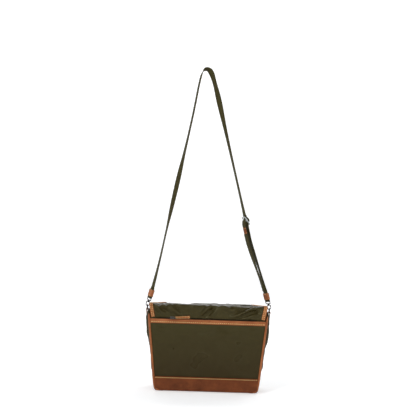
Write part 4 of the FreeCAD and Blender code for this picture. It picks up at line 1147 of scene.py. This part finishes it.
def build_flap():
    """Wrinkled nylon sheet of the flap, cut in two across the top."""
    rows = flap_rows()
    nu = 96
    rest = np.array([
        [flap_point((2 * i / nu - 1) * (flap_half(s) - 0.8), s) for i in range(nu + 1)] for s in rows
    ])
    if normals_of(rest)[5, nu // 2][1] > 0:
        rest = rest[:, ::-1]
    loose = np.ones(rest.shape[:2])
    for j, s in enumerate(rows):
        half = flap_half(s)
        for i in range(nu + 1):
            side = (half - abs(rest[j, i, 0] / MM) - 7.0) / 7.0
            ends = min((s - 1.5) / 6.0, (S_END - s - 8.0) / 8.0)
            calm = 0.55 if s > S_FRONT + 10 else 1.0
            loose[j, i] = np.clip(min(side, ends), 0, 1) * calm
    flat = np.stack([rest[..., 0] / MM, np.repeat(np.array(rows)[:, None], nu + 1, axis=1)], axis=2)
    folded = creased(rest, flat, FLAP_FOLDS, np.clip(loose * 1.4, 0, 1))
    made = settle(folded, loose, 0.03, frames=26, seed=1.3)
    made = evened(keep_within(made, rest, 4.4, 1.6), 2)
    middle = min(range(len(rows)), key=lambda j: abs(rows[j] - (S_FOLD + S_TOP) / 2))
    back = shell("flap_rear_cloth", made, 1.1 * MM, NYLON, rows=(0, middle + 1))
    front = shell("flap_front_cloth", made, 1.1 * MM, NYLON, rows=(middle, len(rows)))
    bend_rear(dress(back, "nylon", "flap_back", "flap_top"))
    bend_front(dress(front, "nylon", "flap_front"))
    middle_s = rows[middle]
    parts = ((back, 0, middle_s, "rear_panel"), (front, middle_s, S_END, "front_panel"))
    for piece, low, high, lies_on in parts:
        steps = np.linspace(low, high, 60)
        half = np.array([flap_half(s) for s in steps])
    build_flap_edges(middle_s)


def outline(s_from, s_to, side, count):
    """Edge of the flap from one position to another, as (x, s) pairs."""
    return [(side * flap_half(s), s) for s in np.linspace(s_from, s_to, count)]


def inward_of(edge):
    """Direction towards the flap's middle at each point of an edge."""
    run = unit(np.gradient(edge, axis=0))
    inward = np.stack([-run[:, 1], run[:, 0]], axis=1)
    half_way = len(edge) // 2
    probe = edge[half_way] + inward[half_way]
    return -inward if abs(probe[0]) > abs(edge[half_way][0]) + 1e-6 else inward


def edge_band(name, edge):
    """Leather binding that follows an edge given as (x, s) pairs."""
    edge = np.array(edge, float)
    inward = inward_of(edge)
    nv = 7
    points = []
    for v in np.arange(nv + 1) / nv:
        rise = BINDING_LIFT + 0.35 * (1 - (2 * v - 1) ** 4)
        row = edge + inward * (BINDING_WIDE * v - OVERHANG)
        points.append([flap_point(x, min(max(s, 0.0), S_END + OVERHANG), rise) for x, s in row])
    points = np.array(points)
    k = len(edge) // 3
    out = np.array(flap_point(*edge[k], 1.0) - flap_point(*edge[k], 0.0))
    if np.dot(normals_of(points)[nv // 2][k], out) < 0:
        points = points[:, ::-1]
    return dress(shell(name, points, 1.2 * MM, LEATHER), "leather_trim")


def edge_thread(edge, inset):
    """Line of thread at a distance inside an edge, with its outward directions."""
    edge = np.array(edge, float)
    lift = BINDING_LIFT + 0.45
    places = edge + inward_of(edge) * inset
    line = [flap_point(x, s, lift) for x, s in places]
    out = [(flap_point(x, s, lift + 1) - at).normalized() for (x, s), at in zip(places, line)]
    return line, out


def build_flap_edges(middle):
    """Leather bindings down both sides and round the front, with rows of thread."""
    rear_edges = {side: outline(0.3, middle, sign, 60) for side, sign in (("left", -1), ("right", 1))}
    for side, edge in rear_edges.items():
        band = edge_band(f"flap_rear_{side}_binding", edge)
        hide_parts(f"flap_back_{side}_trim", f"flap_top_{side}_trim")
        bend_rear(band)
    bend_rear(flap_thread("flap_rear_thread", rear_edges.values()))
    start = S_END - FLAP_CORNER
    centre = flap_half(start) - FLAP_CORNER
    turns = np.linspace(0.12, math.pi / 2, 14)
    right = outline(middle, start, 1, 50)
    right += [(centre + FLAP_CORNER * math.cos(a), start + FLAP_CORNER * math.sin(a)) for a in turns]
    right += [(x, S_END) for x in np.linspace(right[-1][0] - 4, 0, 24)]
    left = [(-x, s) for x, s in right]
    band = edge_band("flap_front_binding", right)
    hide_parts("flap_front_trim")
    for piece in (band, edge_band("flap_front_binding_left", left)):
        bend_front(piece)
    bend_front(flap_thread("flap_front_thread", (right, left)))


def flap_thread(name, edges):
    """Two rows of thread along each edge."""
    rows = [edge_thread(edge, inset) for inset in (2.0, 5.6) for edge in edges]
    return stitches(name, rows, radius=0.45, pitch=4.2, long=2.9)


# Ring tabs


def build_ring_tabs():
    """Leather tab folded round the ring's bar and sewn to the gusset."""
    for side, sign in (("left", -1), ("right", 1)):
        matrix = Matrix.Identity(4) if sign > 0 else Matrix.Rotation(math.pi, 4, "Z")
        route = [
            (142.2, 170), (142.2, 175), (141.4, 180), (140.9, 182.5), (140.9, 185.3), (145.1, 185.3),
            (145.1, 182.0), (144.0, 178), (143.7, 170),
        ]
        tab = local_ribbon(f"{side}_tab_leather", matrix, route, 14, 1.3, LEATHER, "bag")
        dress(tab, "leather_trim", f"{side}_ring_tab")
        across = [matrix @ (Vector((144.9, y, 178.4)) * MM) for y in (-5.4, 0, 5.4)]
        rows = [(across, matrix.to_3x3() @ Vector((1, 0, 0)))]
        stitches(f"{side}_tab_thread", rows, "bag", pitch=3.4, long=2.3, radius=0.42)


CAD_MATERIALS = {"base_board": BOARD, "zip_slider": ZIP_METAL, "pull_link": ZIP_METAL}
for part in ("front_stud", "flap_stud"):
    CAD_MATERIALS[part] = GUNMETAL
for part in ("d_ring", "hook_body", "gate", "hook_eye"):
    CAD_MATERIALS[f"left_{part}"] = CAD_MATERIALS[f"right_{part}"] = GUNMETAL


def dress_cad_nodes():
    """Gives each CAD node that stays in view its own material."""
    for name, material in CAD_MATERIALS.items():
        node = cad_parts[name]
        node.data.materials.clear()
        node.data.materials.append(material)


add_camera()
build_strap()
for side in ("left", "right"):
    build_hook_pieces(side)
build_slider_pieces()
add_studio()
build_rear_pocket()
build_walls()
build_gussets()
build_bands()
build_pipings()
build_lining()
build_pocket_trim()
build_flap()
build_ring_tabs()
dress_cad_nodes()
